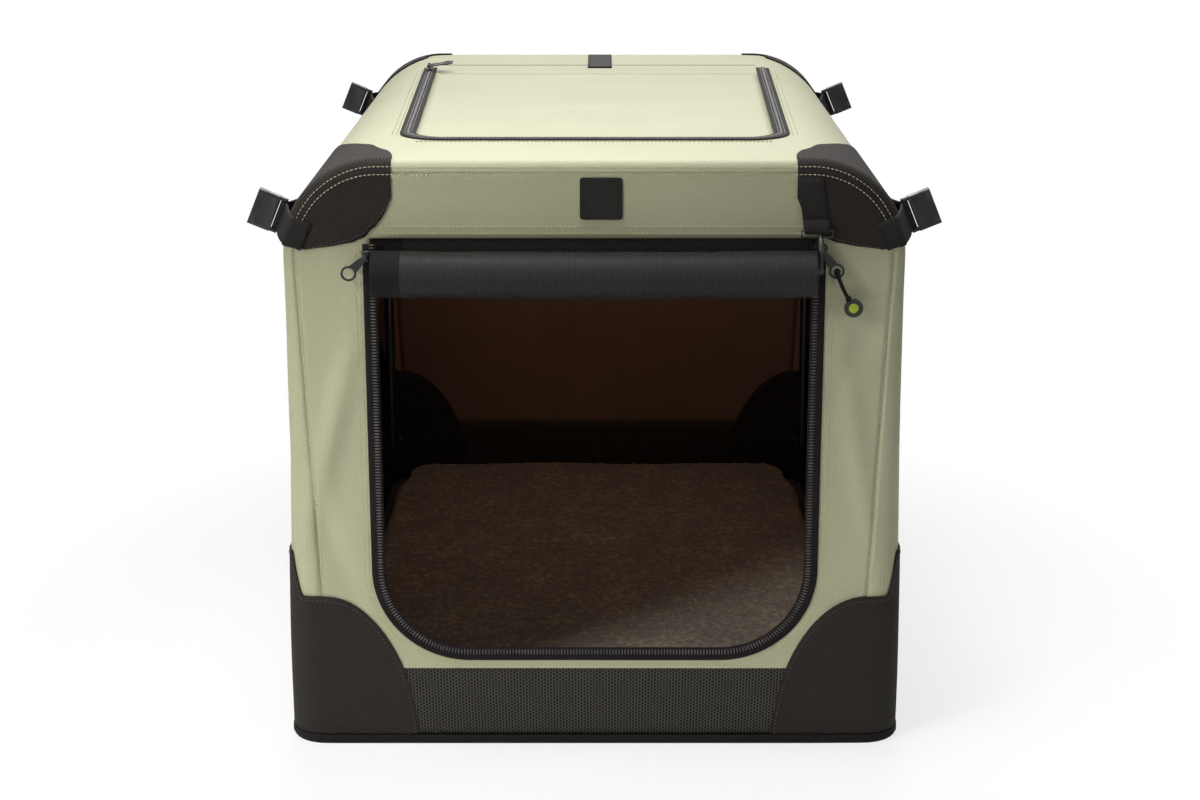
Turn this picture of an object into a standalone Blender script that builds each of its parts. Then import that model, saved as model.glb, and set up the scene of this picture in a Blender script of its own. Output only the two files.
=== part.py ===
"""Soft folding dog crate: fabric cover on two folding U frames over a base ring.

Metres, +Z up, +X to the right, the front with its door at -Y, the floor at z = 0.
"""
import math

import bmesh
import bpy
from mathutils import Matrix, Vector

# Driving dimensions of the cover
WIDTH = 0.590
DEPTH = 0.820
HEIGHT = 0.590
SHOULDER_RADIUS = 0.092
BASE_CORNER_RADIUS = 0.045
TOP_EDGE_RADIUS = 0.012
FABRIC = 0.0020
GAP = 0.0003
ARC_STEPS = 6
EDGE_STEPS = 4

# Bottom: sheet, binding, ring of tube, board and mat
SHEET_THICKNESS = 0.0025
BINDING_HEIGHT = 0.0072
BINDING_PROUD = 0.0030
SKIRT_TOP = 0.0800
TUBE_RADIUS = 0.0065
TUBE_WALL = 0.0012
TUBE_SIDES = 10
RING_CLEARANCE = 0.0005
RING_SEAM = 0.0008
JOINER_LENGTH = 0.040
JOINER_WALL = 0.0012
BOARD_THICKNESS = 0.0040
MAT_THICKNESS = 0.0330
MAT_SIDE_CLEARANCE = 0.0420
MAT_END_CLEARANCE = 0.0340
MAT_CORNER_RADIUS = 0.0300
MAT_DRAWN_IN = 0.0060
MAT_EDGE_ROUND = 0.0110
MAT_CROWN_RUN = 0.0700
MAT_CROWN = 0.0030

# Folding U frames and their hinges
FRONT_LEG_X = WIDTH / 2 - 0.033
FRONT_PIVOT_Y = -(DEPTH / 2 - 0.025)
FRONT_PIVOT_Z = 0.050
FRONT_BEND = 0.080
REAR_LEG_X = WIDTH / 2 - 0.015
REAR_PIVOT_Y = DEPTH / 2 - 0.035
REAR_PIVOT_Z = 0.070
REAR_BEND = 0.085
FRAME_TOP_INSET = 0.012
FRAME_ROOF_CLEARANCE = 0.0010
LEG_FOOT = 0.010
BEND_STEPS = 6
HINGE_SIDE_PLAY = 0.0015
PLATE_THICKNESS = 0.0030
PLATE_HALF_LENGTH = 0.0090
PLATE_ABOVE_PIVOT = 0.0100
FOOT_THICKNESS = 0.0045
FRONT_FOOT_LENGTH = 0.0090
REAR_FOOT_LENGTH = 0.0170
PIN_RADIUS = 0.0025
PIN_HEAD_RADIUS = 0.0045
PIN_HEAD = 0.0020
PIN_OVERRUN = 0.0020

# Front door opening, its zip tape and the rolled-up door
DOOR_HALF_WIDTH = WIDTH / 2 - 0.0765
DOOR_TOP = HEIGHT - 0.0730
DOOR_BOTTOM = SKIRT_TOP + 0.0060
DOOR_CORNER_RADIUS = 0.092
ZIP_TAPE_WIDTH = 0.0100
ZIP_TAPE_THICKNESS = 0.0020
FRONT_ZIP_TOP_DROP = 0.0040
CORNER_STEPS = 8
ROLL_RADIUS = 0.0235
ROLL_CORE_RADIUS = 0.0060
ROLL_TURNS = 3.0
ROLL_PLY = 0.0018
ROLL_POINTS_PER_TURN = 16
ROLL_DROP = 0.0320
ROLL_END_CLEARANCE = 0.0006
ROLL_SEAM_RISE = 0.0120

# Corner patches
PATCH = 0.0015
LOWER_PATCH_FACE = 0.081
LOWER_PATCH_FACE_HEIGHT = 0.142
LOWER_PATCH_SIDE = 0.130
LOWER_PATCH_SIDE_HEIGHT = 0.190
UPPER_PATCH_FACE = 0.056
UPPER_PATCH_FRONT_SIDE = 0.255
UPPER_PATCH_REAR_SIDE = 0.072
UPPER_PATCH_FOOT = math.radians(7.0)
UPPER_PATCH_RUN = 0.013
UPPER_PATCH_FACE_SHARES = (0.20, 0.62, 0.89, 0.97, 1.0, 0.93, 0.82, 0.40)
UPPER_PATCH_FRONT_SHARES = (0.60, 0.82, 1.0, 0.88, 0.60, 0.38, 0.26, 0.21)
UPPER_PATCH_REAR_SHARES = (0.85, 0.95, 1.0, 0.95, 0.75, 0.45, 0.20, 0.05)

# Roof hatch and its zip
HATCH_FRONT_Y = -(DEPTH / 2 - 0.135)
HATCH_REAR_Y = DEPTH / 2 - 0.205
HATCH_FRONT_HALF = WIDTH / 2 - 0.116
HATCH_REAR_HALF = WIDTH / 2 - 0.099
HATCH_CORNER_RADIUS = 0.030
HATCH_GAP = 0.0005
ROOF_TAPE_WIDTH = 0.016
ROOF_TAPE_THICKNESS = 0.0012
ROOF_TAPE_END_Y = DEPTH / 2 - 0.150
TAB_WIDTH = 0.030
TAB_LENGTH = 0.124
TAB_REAR_INSET = 0.012
TAB_X = 0.004
WEBBING = 0.0015

# Zip sliders and pulls
SLIDER_LENGTH = 0.0110
SLIDER_WIDTH = 0.0085
SLIDER_HEIGHT = 0.0032
BAIL_RISE = 0.0026
BAIL_HALF_SPAN = 0.0034
BAIL_RADIUS = 0.0008
PULL_BORE_PLAY = 0.0004
PULL_KNUCKLE_WALL = 0.0009
PULL_KNUCKLE_HALF = 0.0020
PULL_LENGTH = 0.0270
PULL_WIDTH = 0.0068
PULL_THICKNESS = 0.0014
PULL_HOLE_RADIUS = 0.0019
PULL_NECK = 0.0012
FRONT_SLIDER_LEFT_Z = DOOR_TOP - 0.0165
FRONT_SLIDER_RIGHT_Z = DOOR_TOP - 0.0114
FRONT_SLIDER_OUT = 0.0015
LEFT_PULL_ANGLE = math.radians(46.0)
RIGHT_PULL_ANGLE = math.radians(35.0)
ROOF_SLIDER_FRONT_Y = ROOF_TAPE_END_Y - 0.0340
ROOF_SLIDER_PITCH = 0.0150
TAG_RADIUS = 0.0090
TAG_THICKNESS = 0.0024
TAG_LEAN = math.radians(30.0)
CORD_RADIUS = 0.0009
TAG_CORD = ((0.0, 0.0, 0.0), (0.0030, -0.0012, -0.0090), (0.0075, -0.0010, -0.0190), (0.0120, 0.0, -0.0270))

# Door strap with its hook, label and corner straps with buckles
STRAP_WIDTH = 0.0240
STRAP_X = DOOR_HALF_WIDTH - 0.0095
STRAP_TOP_DROP = 0.0080
STRAP_BAR_Z = HEIGHT - 0.0650
STRAP_RETURN = 0.0110
HOOK_WIRE = 0.0011
HOOK_RING_DROP = 0.0060
HOOK_LOOP_PLAY = 0.0004
HOOK_X = STRAP_X + 0.0030
HOOK_OUT = 0.0105
HOOK_SHANK_RADIUS = 0.0022
HOOK_BOTTOM_Z = STRAP_BAR_Z - 0.0350
HOOK_CURL = 0.0042
LABEL_SIZE = 0.0400
LABEL_Z = HEIGHT - 0.0350
LABEL_X = 0.0065
LABEL_THICKNESS = 0.0012
LOOP_FACET_SHARE = 1.5
LOOP_WRAP = math.radians(108.0)
LOOP_WIDTH = 0.0280
LOOP_Y = DEPTH / 2 - 0.0400
LOOP_HALF_SPREAD = 0.0200
LOOP_REACH = 0.0090
LOOP_SLIDE = 0.0070
LOOP_SEAT = 0.0100
BAR_RADIUS = 0.0020
BAR_PLAY = 0.0004
BUCKLE_HEIGHT = 0.0360
BUCKLE_LENGTH = 0.0250
BUCKLE_THICKNESS = 0.0090
BUCKLE_WALL = 0.0018
BUCKLE_BODY_CLEARANCE = 0.0008

OVERRUN = 0.0100
UP = Vector((0.0, 0.0, 1.0))
RIGHT = Vector((1.0, 0.0, 0.0))
BACK = Vector((0.0, 1.0, 0.0))

COLOURS = {
    "sage_canvas": ((0.365, 0.378, 0.220), 0.90, 0.0),
    "charcoal_twill": ((0.017, 0.014, 0.013), 0.85, 0.0),
    "charcoal_mesh": ((0.033, 0.033, 0.028), 0.80, 0.0),
    "black_binding": ((0.010, 0.009, 0.009), 0.80, 0.0),
    "black_webbing": ((0.012, 0.010, 0.010), 0.75, 0.0),
    "zip_coil": ((0.012, 0.009, 0.010), 0.45, 0.0),
    "moulded_acetal": ((0.020, 0.020, 0.020), 0.35, 0.0),
    "olive_fleece": ((0.210, 0.190, 0.110), 0.95, 0.0),
    "black_tube": ((0.020, 0.019, 0.018), 0.40, 0.0),
    "zinc_hinge": ((0.450, 0.450, 0.440), 0.35, 1.0),
    "grey_board": ((0.060, 0.060, 0.060), 0.90, 0.0),
    "green_rubber": ((0.190, 0.330, 0.020), 0.55, 0.0),
}


def clear_scene():
    for old in list(bpy.data.objects):
        bpy.data.objects.remove(old, do_unlink=True)


def material(name):
    made = bpy.data.materials.get(name)
    if made is None:
        colour, roughness, metallic = COLOURS[name]
        made = bpy.data.materials.new(name)
        made.use_nodes = True
        shader = made.node_tree.nodes["Principled BSDF"]
        shader.inputs["Base Color"].default_value = (*colour, 1.0)
        shader.inputs["Roughness"].default_value = roughness
        shader.inputs["Metallic"].default_value = metallic
        made.diffuse_color = (*colour, 1.0)
    return made


def add_object(name, shape, finish=None, origin=None):
    """Turn a bmesh into an object whose faces point outwards, with its origin where asked."""
    bmesh.ops.recalc_face_normals(shape, faces=shape.faces)
    place = Vector(origin) if origin is not None else Vector((0.0, 0.0, 0.0))
    bmesh.ops.translate(shape, verts=shape.verts, vec=-place)
    mesh = bpy.data.meshes.new(name)
    shape.to_mesh(mesh)
    shape.free()
    made = bpy.data.objects.new(name, mesh)
    made.location = place
    bpy.context.scene.collection.objects.link(made)
    if finish:
        mesh.materials.append(material(finish))
    return made


def cut(target, shape, operation="DIFFERENCE"):
    """Combine a target with a second shape by an exact Boolean."""
    tool = add_object("tool_" + target.name, shape)
    tool.hide_render = True
    tool.display_type = "WIRE"
    step = target.modifiers.new(operation.lower(), "BOOLEAN")
    step.operation = operation
    step.solver = "EXACT"
    step.object = tool
    return target


def shell(outer, inner):
    """Closed body between two grids of points, outer[i][j] over inner[i][j]."""
    shape = bmesh.new()
    tops = [[shape.verts.new(p) for p in row] for row in outer]
    lows = [[shape.verts.new(p) for p in row] for row in inner]
    rows, columns = len(outer), len(outer[0])
    for i in range(rows - 1):
        for j in range(columns - 1):
            shape.faces.new((tops[i][j], tops[i + 1][j], tops[i + 1][j + 1], tops[i][j + 1]))
            shape.faces.new((lows[i][j], lows[i][j + 1], lows[i + 1][j + 1], lows[i + 1][j]))
    rim = [(i, 0) for i in range(rows)] + [(rows - 1, j) for j in range(1, columns)]
    rim += [(i, columns - 1) for i in range(rows - 2, -1, -1)]
    rim += [(0, j) for j in range(columns - 2, 0, -1)]
    for (i, j), (k, m) in zip(rim, rim[1:] + rim[:1]):
        shape.faces.new((tops[i][j], lows[i][j], lows[k][m], tops[k][m]))
    return shape


def stack(loops, cap=True):
    """Body through a list of closed loops with equal counts, capped at both ends."""
    shape = bmesh.new()
    rings = [[shape.verts.new(p) for p in loop] for loop in loops]
    for low, high in zip(rings, rings[1:]):
        for a in range(len(low)):
            b = (a + 1) % len(low)
            shape.faces.new((low[a], low[b], high[b], high[a]))
    if cap:
        shape.faces.new(rings[0])
        shape.faces.new(rings[-1])
    else:
        for a in range(len(rings[0])):
            b = (a + 1) % len(rings[0])
            shape.faces.new((rings[0][a], rings[0][b], rings[-1][b], rings[-1][a]))
    return shape


def prism(outline, along):
    """Flat outline pushed along a vector."""
    return stack([[Vector(p) for p in outline], [Vector(p) + along for p in outline]])


def box(centre, axes, sizes):
    """Block with its three axes and full sizes."""
    u, v, w = (Vector(axis).normalized() * size / 2 for axis, size in zip(axes, sizes))
    middle = Vector(centre)
    corners = [middle - u - v - w, middle + u - v - w, middle + u + v - w, middle - u + v - w]
    return prism(corners, 2 * w)


def rod(start, end, radius, sides=12):
    """Round bar from one point to another."""
    start, end = Vector(start), Vector(end)
    turn = (end - start).to_track_quat("Z", "Y").to_matrix()
    ring = [turn @ Vector((math.cos(a), math.sin(a), 0.0)) * radius
            for a in (2 * math.pi * i / sides for i in range(sides))]
    return stack([[start + p for p in ring], [end + p for p in ring]])


def circle(radius, sides):
    return [(radius * math.cos(2 * math.pi * i / sides), radius * math.sin(2 * math.pi * i / sides))
            for i in range(sides)]


def sweep(path, section, normal, inner=None):
    """Section swept along a flat path; a second section inside it leaves a bore."""
    path = [Vector(p) for p in path]
    rings, bores = [], []
    for i, point in enumerate(path):
        before = path[max(i - 1, 0)]
        after = path[min(i + 1, len(path) - 1)]
        tangent = (after - before).normalized()
        side = tangent.cross(normal).normalized()
        rings.append([point + side * a + normal * b for a, b in section])
        if inner:
            bores.append([point + side * a + normal * b for a, b in inner])
    if not inner:
        return stack(rings)
    return stack(rings + bores[::-1], cap=False)


def arc(centre, radius, start, end, steps):
    """Points on a circle, in plane coordinates."""
    return [(centre[0] + radius * math.cos(start + (end - start) * i / steps),
             centre[1] + radius * math.sin(start + (end - start) * i / steps))
            for i in range(steps + 1)]


def rounded_rectangle(half_x, half_y, radius, steps=EDGE_STEPS):
    """Counter-clockwise outline of a rectangle with round corners."""
    points = []
    quarter = math.pi / 2
    for turn, (sx, sy) in enumerate(((1, 1), (-1, 1), (-1, -1), (1, -1))):
        centre = (sx * (half_x - radius), sy * (half_y - radius))
        points += arc(centre, radius, turn * quarter, (turn + 1) * quarter, steps)
    return points


# Skin of the cover

def edge_radius(z):
    """Plan radius of the upright edges, wide at the base ring and tight at the top."""
    share = min(max(z / (HEIGHT - SHOULDER_RADIUS), 0.0), 1.0)
    return BASE_CORNER_RADIUS + (TOP_EDGE_RADIUS - BASE_CORNER_RADIUS) * share


def leg_station(side, z):
    """Place on an upright side: x, z and the outward direction."""
    return (side * WIDTH / 2, z, side, 0.0)


def shoulder_station(side, angle):
    """Place on a shoulder, from 0 on the side to a quarter turn on the roof."""
    return (side * (WIDTH / 2 - SHOULDER_RADIUS * (1 - math.cos(angle))),
            HEIGHT - SHOULDER_RADIUS * (1 - math.sin(angle)),
            side * math.cos(angle), math.sin(angle))


def skin_point(station, end, zone, value, inset):
    """Point on the skin. Zones: side (back from the edge), edge (0 to 1), face (in from the edge)."""
    x, z, nx, nz = station
    radius = edge_radius(z)
    if zone == "side":
        inward = inset
        y = DEPTH / 2 - radius - value
    elif zone == "edge":
        turn = value * math.pi / 2
        inward = radius - (radius - inset) * math.cos(turn)
        y = DEPTH / 2 - radius + (radius - inset) * math.sin(turn)
    else:
        inward = radius + value
        y = DEPTH / 2 - inset
    return Vector((x - nx * inward, end * y, z - nz * inward))


def band_row(station, inset):
    """One row of a side or roof panel, from the front edge to the rear edge."""
    shares = [i / EDGE_STEPS for i in range(EDGE_STEPS + 1)]
    row = [skin_point(station, -1, "edge", share, inset) for share in reversed(shares)]
    return row + [skin_point(station, 1, "edge", share, inset) for share in shares]


def band_panel(stations, outer_inset, inner_inset):
    return shell([band_row(s, outer_inset) for s in stations],
                 [band_row(s, inner_inset) for s in stations])


def shoulder_stations(side, start=0.0):
    quarter = math.pi / 2
    angles = [quarter * i / ARC_STEPS for i in range(ARC_STEPS + 1)]
    angles[0] = start
    return [shoulder_station(side, angle) for angle in angles]


def roof_stations():
    seam = math.asin(GAP / SHOULDER_RADIUS)
    left = shoulder_stations(-1, seam)
    right = shoulder_stations(1, seam)
    return left + right[::-1]


def plan_loop(z, inset):
    """Outline of the cover at a height."""
    radius = edge_radius(z)
    return [Vector((x, y, z)) for x, y in
            rounded_rectangle(WIDTH / 2 - inset, DEPTH / 2 - inset, radius - inset)]


def plan_ring(low, high, outer_inset, inner_inset):
    loops = [plan_loop(low, outer_inset), plan_loop(high, outer_inset),
             plan_loop(high, inner_inset), plan_loop(low, inner_inset)]
    return stack(loops, cap=False)


def end_wall(end):
    """Flat front or rear panel inside the rounded edges."""
    low = SKIRT_TOP + GAP
    high = HEIGHT - SHOULDER_RADIUS
    stations = [leg_station(-1, low), leg_station(-1, high)] + shoulder_stations(-1)[1:]
    stations += shoulder_stations(1)[:0:-1] + [leg_station(1, high), leg_station(1, low)]
    outline = [skin_point(s, end, "face", GAP, 0.0) for s in stations]
    return prism(outline, Vector((0.0, -end * FABRIC, 0.0)))


def door_outline(inset, y):
    """Door opening with round lower corners, at a distance inside the tape's outer edge."""
    half = DOOR_HALF_WIDTH - inset
    low = DOOR_BOTTOM + inset
    radius = DOOR_CORNER_RADIUS - inset
    right = arc((half - radius, low + radius), radius, 0.0, -math.pi / 2, CORNER_STEPS)
    points = [(half, DOOR_TOP)] + right
    points += [(-x, z) for x, z in reversed(right)] + [(-half, DOOR_TOP)]
    return [Vector((x, y, z)) for x, z in points]


def make_cover():
    low = SKIRT_TOP + GAP
    high = HEIGHT - SHOULDER_RADIUS
    front = add_object("front_wall", end_wall(-1), "sage_canvas")
    door = prism(door_outline(ZIP_TAPE_WIDTH / 2, -DEPTH / 2 - OVERRUN), BACK * 2 * OVERRUN)
    cut(front, door)
    add_object("rear_wall", end_wall(1), "sage_canvas")
    for side, name in ((-1, "left_wall"), (1, "right_wall")):
        stations = [leg_station(side, low), leg_station(side, high)]
        add_object(name, band_panel(stations, 0.0, FABRIC), "sage_canvas")
    add_object("skirt_band", plan_ring(binding_top() + GAP, SKIRT_TOP, 0.0, FABRIC), "charcoal_mesh")


def binding_low():
    return SHEET_THICKNESS + GAP


def binding_top():
    return binding_low() + BINDING_HEIGHT


def make_bottom():
    sheet = stack([[Vector((p.x, p.y, 0.0)) for p in plan_loop(0.0, -BINDING_PROUD)],
                   [Vector((p.x, p.y, SHEET_THICKNESS)) for p in plan_loop(0.0, -BINDING_PROUD)]])
    add_object("bottom_sheet", sheet, "black_binding")
    add_object("base_binding", plan_ring(binding_low(), binding_top(), -BINDING_PROUD, FABRIC),
               "black_binding")
    add_object("floor_panel", board(), "grey_board")
    add_object("fleece_mat", mat(), "olive_fleece")


def ring_inset():
    return FABRIC + RING_CLEARANCE + TUBE_RADIUS


def ring_height():
    return binding_low() + TUBE_RADIUS


def board():
    inset = ring_inset() + TUBE_RADIUS + RING_CLEARANCE
    radius = BASE_CORNER_RADIUS - inset
    outline = rounded_rectangle(WIDTH / 2 - inset, DEPTH / 2 - inset, radius)
    return prism([Vector((x, y, binding_low())) for x, y in outline], UP * BOARD_THICKNESS)


def mat_loop(inset, z):
    """Mat outline at a height, drawn in between its corners."""
    half_x = WIDTH / 2 - MAT_SIDE_CLEARANCE - inset
    half_y = DEPTH / 2 - MAT_END_CLEARANCE - inset
    radius = max(MAT_CORNER_RADIUS - inset, MAT_EDGE_ROUND)
    quarter = rounded_rectangle(half_x, half_y, radius)
    middles = {0: (-1, 0), 1: (0, -1), 2: (1, 0), 3: (0, 1)}
    loop = []
    per_corner = EDGE_STEPS + 1
    for corner in range(len(middles)):
        loop += quarter[corner * per_corner:(corner + 1) * per_corner]
        last = quarter[(corner + 1) * per_corner - 1]
        after = quarter[((corner + 1) * per_corner) % len(quarter)]
        centre = ((last[0] + after[0]) / 2, (last[1] + after[1]) / 2)
        reach = math.hypot(*centre)
        loop.append((centre[0] * (1 - MAT_DRAWN_IN / reach), centre[1] * (1 - MAT_DRAWN_IN / reach)))
    return [Vector((x, y, z)) for x, y in loop]


def mat():
    low = binding_low() + BOARD_THICKNESS + GAP
    top = low + MAT_THICKNESS
    levels = ((MAT_EDGE_ROUND, low), (0.0, low + MAT_EDGE_ROUND), (0.0, top - MAT_CROWN - MAT_EDGE_ROUND),
              (MAT_EDGE_ROUND, top - MAT_CROWN), (MAT_CROWN_RUN, top))
    return stack([mat_loop(inset, z) for inset, z in levels])


def make_base_frame():
    inset = ring_inset()
    loop = rounded_rectangle(WIDTH / 2 - inset, DEPTH / 2 - inset, BASE_CORNER_RADIUS - inset)
    z = ring_height()
    rear_start = EDGE_STEPS + 1
    ordered = loop[rear_start:] + loop[:rear_start]
    rear_y = DEPTH / 2 - inset
    path = [(-RING_SEAM / 2, rear_y, z)] + [(x, y, z) for x, y in ordered] + [(RING_SEAM / 2, rear_y, z)]
    tube = sweep(path, circle(TUBE_RADIUS, TUBE_SIDES), UP, circle(TUBE_RADIUS - TUBE_WALL, TUBE_SIDES))
    add_object("base_frame", tube, "black_tube")
    core = TUBE_RADIUS - TUBE_WALL - GAP
    ends = [(-JOINER_LENGTH / 2, rear_y, z), (JOINER_LENGTH / 2, rear_y, z)]
    joiner = sweep(ends, circle(core, TUBE_SIDES), UP, circle(core - JOINER_WALL, TUBE_SIDES))
    add_object("frame_joiner", joiner, "black_tube")


# Folding frames

def frame_top_z():
    return HEIGHT - FABRIC - FRAME_ROOF_CLEARANCE - TUBE_RADIUS


def make_u_frame(name, end, leg_x, pivot_y, pivot_z, bend):
    """U of bent tube that stands on two pivots and leans out to the seam of the roof."""
    pivot = Vector((0.0, pivot_y, pivot_z))
    top = Vector((0.0, end * (DEPTH / 2 - FRAME_TOP_INSET), frame_top_z()))
    rise = (top - pivot).normalized()
    height = (top - pivot).length
    right = arc((leg_x - bend, height - bend), bend, 0.0, math.pi / 2, BEND_STEPS)
    half = [(leg_x, -LEG_FOOT)] + right
    flat = half + [(-x, v) for x, v in reversed(half)]
    path = [pivot + RIGHT * x + rise * v for x, v in flat]
    normal = RIGHT.cross(rise)
    tube = sweep(path, circle(TUBE_RADIUS, TUBE_SIDES), normal,
                 circle(TUBE_RADIUS - TUBE_WALL, TUBE_SIDES))
    frame = add_object(name, tube, "black_tube", pivot)
    for side in (-1, 1):
        across = side * RIGHT
        centre = pivot + across * leg_x
        hole = rod(centre - across * 2 * TUBE_RADIUS, centre + across * 2 * TUBE_RADIUS, PIN_RADIUS + GAP)
        cut(frame, hole)
    return frame


def make_hinge(label, side, leg_x, pivot_y, pivot_z, plate_outboard, foot_length):
    """Bracket on the base ring and the pin on which a leg turns."""
    face = leg_x + plate_outboard * (TUBE_RADIUS + HINGE_SIDE_PLAY)
    back = face + plate_outboard * PLATE_THICKNESS
    foot_low = ring_height() + TUBE_RADIUS + GAP
    foot_high = foot_low + FOOT_THICKNESS
    top = pivot_z + PLATE_ABOVE_PIVOT
    inner, outer = min(face, back), max(face, back)
    foot_end = inner + foot_length
    profile = [(inner, foot_low), (foot_end, foot_low), (foot_end, foot_high), (outer, foot_high),
               (outer, top), (inner, top)]
    y = pivot_y - PLATE_HALF_LENGTH
    plate = prism([Vector((side * x, y, z)) for x, z in profile], BACK * 2 * PLATE_HALF_LENGTH)
    bracket = add_object("hinge_bracket_" + label, plate, "zinc_hinge")
    hole = rod((side * (inner - OVERRUN), pivot_y, pivot_z), (side * (outer + OVERRUN), pivot_y, pivot_z),
               PIN_RADIUS + GAP)
    cut(bracket, hole)
    head_start = back + plate_outboard * GAP
    head_end = head_start + plate_outboard * PIN_HEAD
    tip = leg_x - plate_outboard * (TUBE_RADIUS + PIN_OVERRUN)
    steps = ((head_end, PIN_HEAD_RADIUS), (head_start, PIN_HEAD_RADIUS), (head_start, PIN_RADIUS),
             (tip, PIN_RADIUS))
    loops = [[Vector((side * x, pivot_y + a, pivot_z + b)) for a, b in circle(radius, 2 * BEND_STEPS)]
             for x, radius in steps]
    add_object("hinge_pin_" + label, stack(loops), "zinc_hinge")


def make_frames():
    make_u_frame("front_frame", -1, FRONT_LEG_X, FRONT_PIVOT_Y, FRONT_PIVOT_Z, FRONT_BEND)
    make_u_frame("rear_frame", 1, REAR_LEG_X, REAR_PIVOT_Y, REAR_PIVOT_Z, REAR_BEND)
    for side, hand in ((-1, "left"), (1, "right")):
        make_hinge("front_" + hand, side, FRONT_LEG_X, FRONT_PIVOT_Y, FRONT_PIVOT_Z, 1, FRONT_FOOT_LENGTH)
        make_hinge("rear_" + hand, side, REAR_LEG_X, REAR_PIVOT_Y, REAR_PIVOT_Z, -1, REAR_FOOT_LENGTH)


# Corner patches, a second skin over the cover

def patch_layers():
    return -(GAP + PATCH), -GAP


def make_lower_patch(side, end, name):
    """Patch round a base corner: quarter-round tops on the face and on the side."""
    low = binding_top() + GAP
    quarter = math.pi / 2
    shares = [math.sin(quarter * i / ARC_STEPS) for i in range(ARC_STEPS + 1)]
    thin = 1 - shares[-2]
    columns = []
    for share in reversed(shares):
        rise = max(math.sqrt(max(1 - share * share, 0.0)), thin)
        columns.append(("face", share * LOWER_PATCH_FACE, low + rise * LOWER_PATCH_FACE_HEIGHT))
    for i in range(1, EDGE_STEPS):
        share = i / EDGE_STEPS
        height = LOWER_PATCH_FACE_HEIGHT + (LOWER_PATCH_SIDE_HEIGHT - LOWER_PATCH_FACE_HEIGHT) * share
        columns.append(("edge", 1 - share, low + height))
    for share in shares:
        rise = max(math.sqrt(max(1 - share * share, 0.0)), thin)
        columns.append(("side", share * LOWER_PATCH_SIDE, low + rise * LOWER_PATCH_SIDE_HEIGHT))
    outer_inset, inner_inset = patch_layers()
    layers = []
    for inset in (outer_inset, inner_inset):
        grid = []
        for zone, value, high in columns:
            heights = [low + (high - low) * i / EDGE_STEPS for i in range(EDGE_STEPS + 1)]
            grid.append([skin_point(leg_station(side, z), end, zone, value, inset) for z in heights])
        layers.append(grid)
    add_object(name, shell(*layers), "charcoal_twill")


def make_upper_patch(side, end, reach, shares, name):
    """Patch over a roof corner: a leaf on the face and a longer one along the shoulder."""
    stations = [shoulder_station(side, UPPER_PATCH_FOOT)] + shoulder_stations(side)[1:]
    x, z, nx, nz = stations[-1]
    stations.append((x - side * UPPER_PATCH_RUN, z, nx, nz))
    rows = []
    for station, face_share, back_share in zip(stations, UPPER_PATCH_FACE_SHARES, shares):
        row = [("side", reach * back_share), ("side", 0.0)]
        row += [("edge", j / EDGE_STEPS) for j in range(1, EDGE_STEPS + 1)]
        row += [("face", UPPER_PATCH_FACE * face_share)]
        rows.append((station, row))
    layers = [[[skin_point(station, end, zone, value, inset) for zone, value in row]
               for station, row in rows] for inset in patch_layers()]
    add_object(name, shell(*layers), "charcoal_twill")


def make_patches():
    for end, place, reach, shares in ((-1, "front", UPPER_PATCH_FRONT_SIDE, UPPER_PATCH_FRONT_SHARES),
                                      (1, "rear", UPPER_PATCH_REAR_SIDE, UPPER_PATCH_REAR_SHARES)):
        for side, hand in ((-1, "left"), (1, "right")):
            make_lower_patch(side, end, "lower_patch_{}_{}".format(place, hand))
            make_upper_patch(side, end, reach, shares, "upper_patch_{}_{}".format(place, hand))


# Roof, hatch and roof zip

def hatch_half(y):
    share = (y - HATCH_FRONT_Y) / (HATCH_REAR_Y - HATCH_FRONT_Y)
    return HATCH_FRONT_HALF + (HATCH_REAR_HALF - HATCH_FRONT_HALF) * share


def hatch_outline(grow, rear_y, z):
    """Hatch shape seen from above, grown outwards and ending at rear_y."""
    radius = HATCH_CORNER_RADIUS + grow
    front_y = HATCH_FRONT_Y - grow
    bend_y = front_y + radius
    half = hatch_half(bend_y) + grow
    right = [(hatch_half(rear_y) + grow, rear_y)]
    right += arc((half - radius, bend_y), radius, 0.0, -math.pi / 2, CORNER_STEPS)
    return [Vector((x, y, z)) for x, y in right + [(-x, y) for x, y in reversed(right)]]


def roof_cutter(grow, rear_y):
    low = HEIGHT - SHOULDER_RADIUS
    return prism(hatch_outline(grow, rear_y, low), UP * (SHOULDER_RADIUS + OVERRUN))


def make_roof():
    roof = add_object("roof", band_panel(roof_stations(), 0.0, FABRIC), "sage_canvas")
    cut(roof, roof_cutter(HATCH_GAP, HATCH_REAR_Y + HATCH_GAP))
    hinge = (0.0, HATCH_REAR_Y, HEIGHT)
    hatch = add_object("roof_hatch", band_panel(roof_stations(), 0.0, FABRIC), "sage_canvas", hinge)
    cut(hatch, roof_cutter(0.0, HATCH_REAR_Y), "INTERSECT")
    outer = hatch_outline(HATCH_GAP + ROOF_TAPE_WIDTH, ROOF_TAPE_END_Y, HEIGHT - SHOULDER_RADIUS)
    inner = hatch_outline(HATCH_GAP, ROOF_TAPE_END_Y, HEIGHT - SHOULDER_RADIUS)
    band = prism(outer + inner[::-1], UP * (SHOULDER_RADIUS + OVERRUN))
    tape = band_panel(roof_stations(), -(GAP + ROOF_TAPE_THICKNESS), -GAP)
    cut(add_object("roof_zip", tape, "zip_coil"), band, "INTERSECT")
    rear = DEPTH / 2 - TAB_REAR_INSET - TOP_EDGE_RADIUS
    middle = (TAB_X, rear - TAB_LENGTH / 2, HEIGHT + GAP + WEBBING / 2)
    add_object("roof_tab", box(middle, (RIGHT, BACK, UP), (TAB_WIDTH, TAB_LENGTH, WEBBING)),
               "black_webbing")


# Door: zip tape and rolled panel

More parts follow.
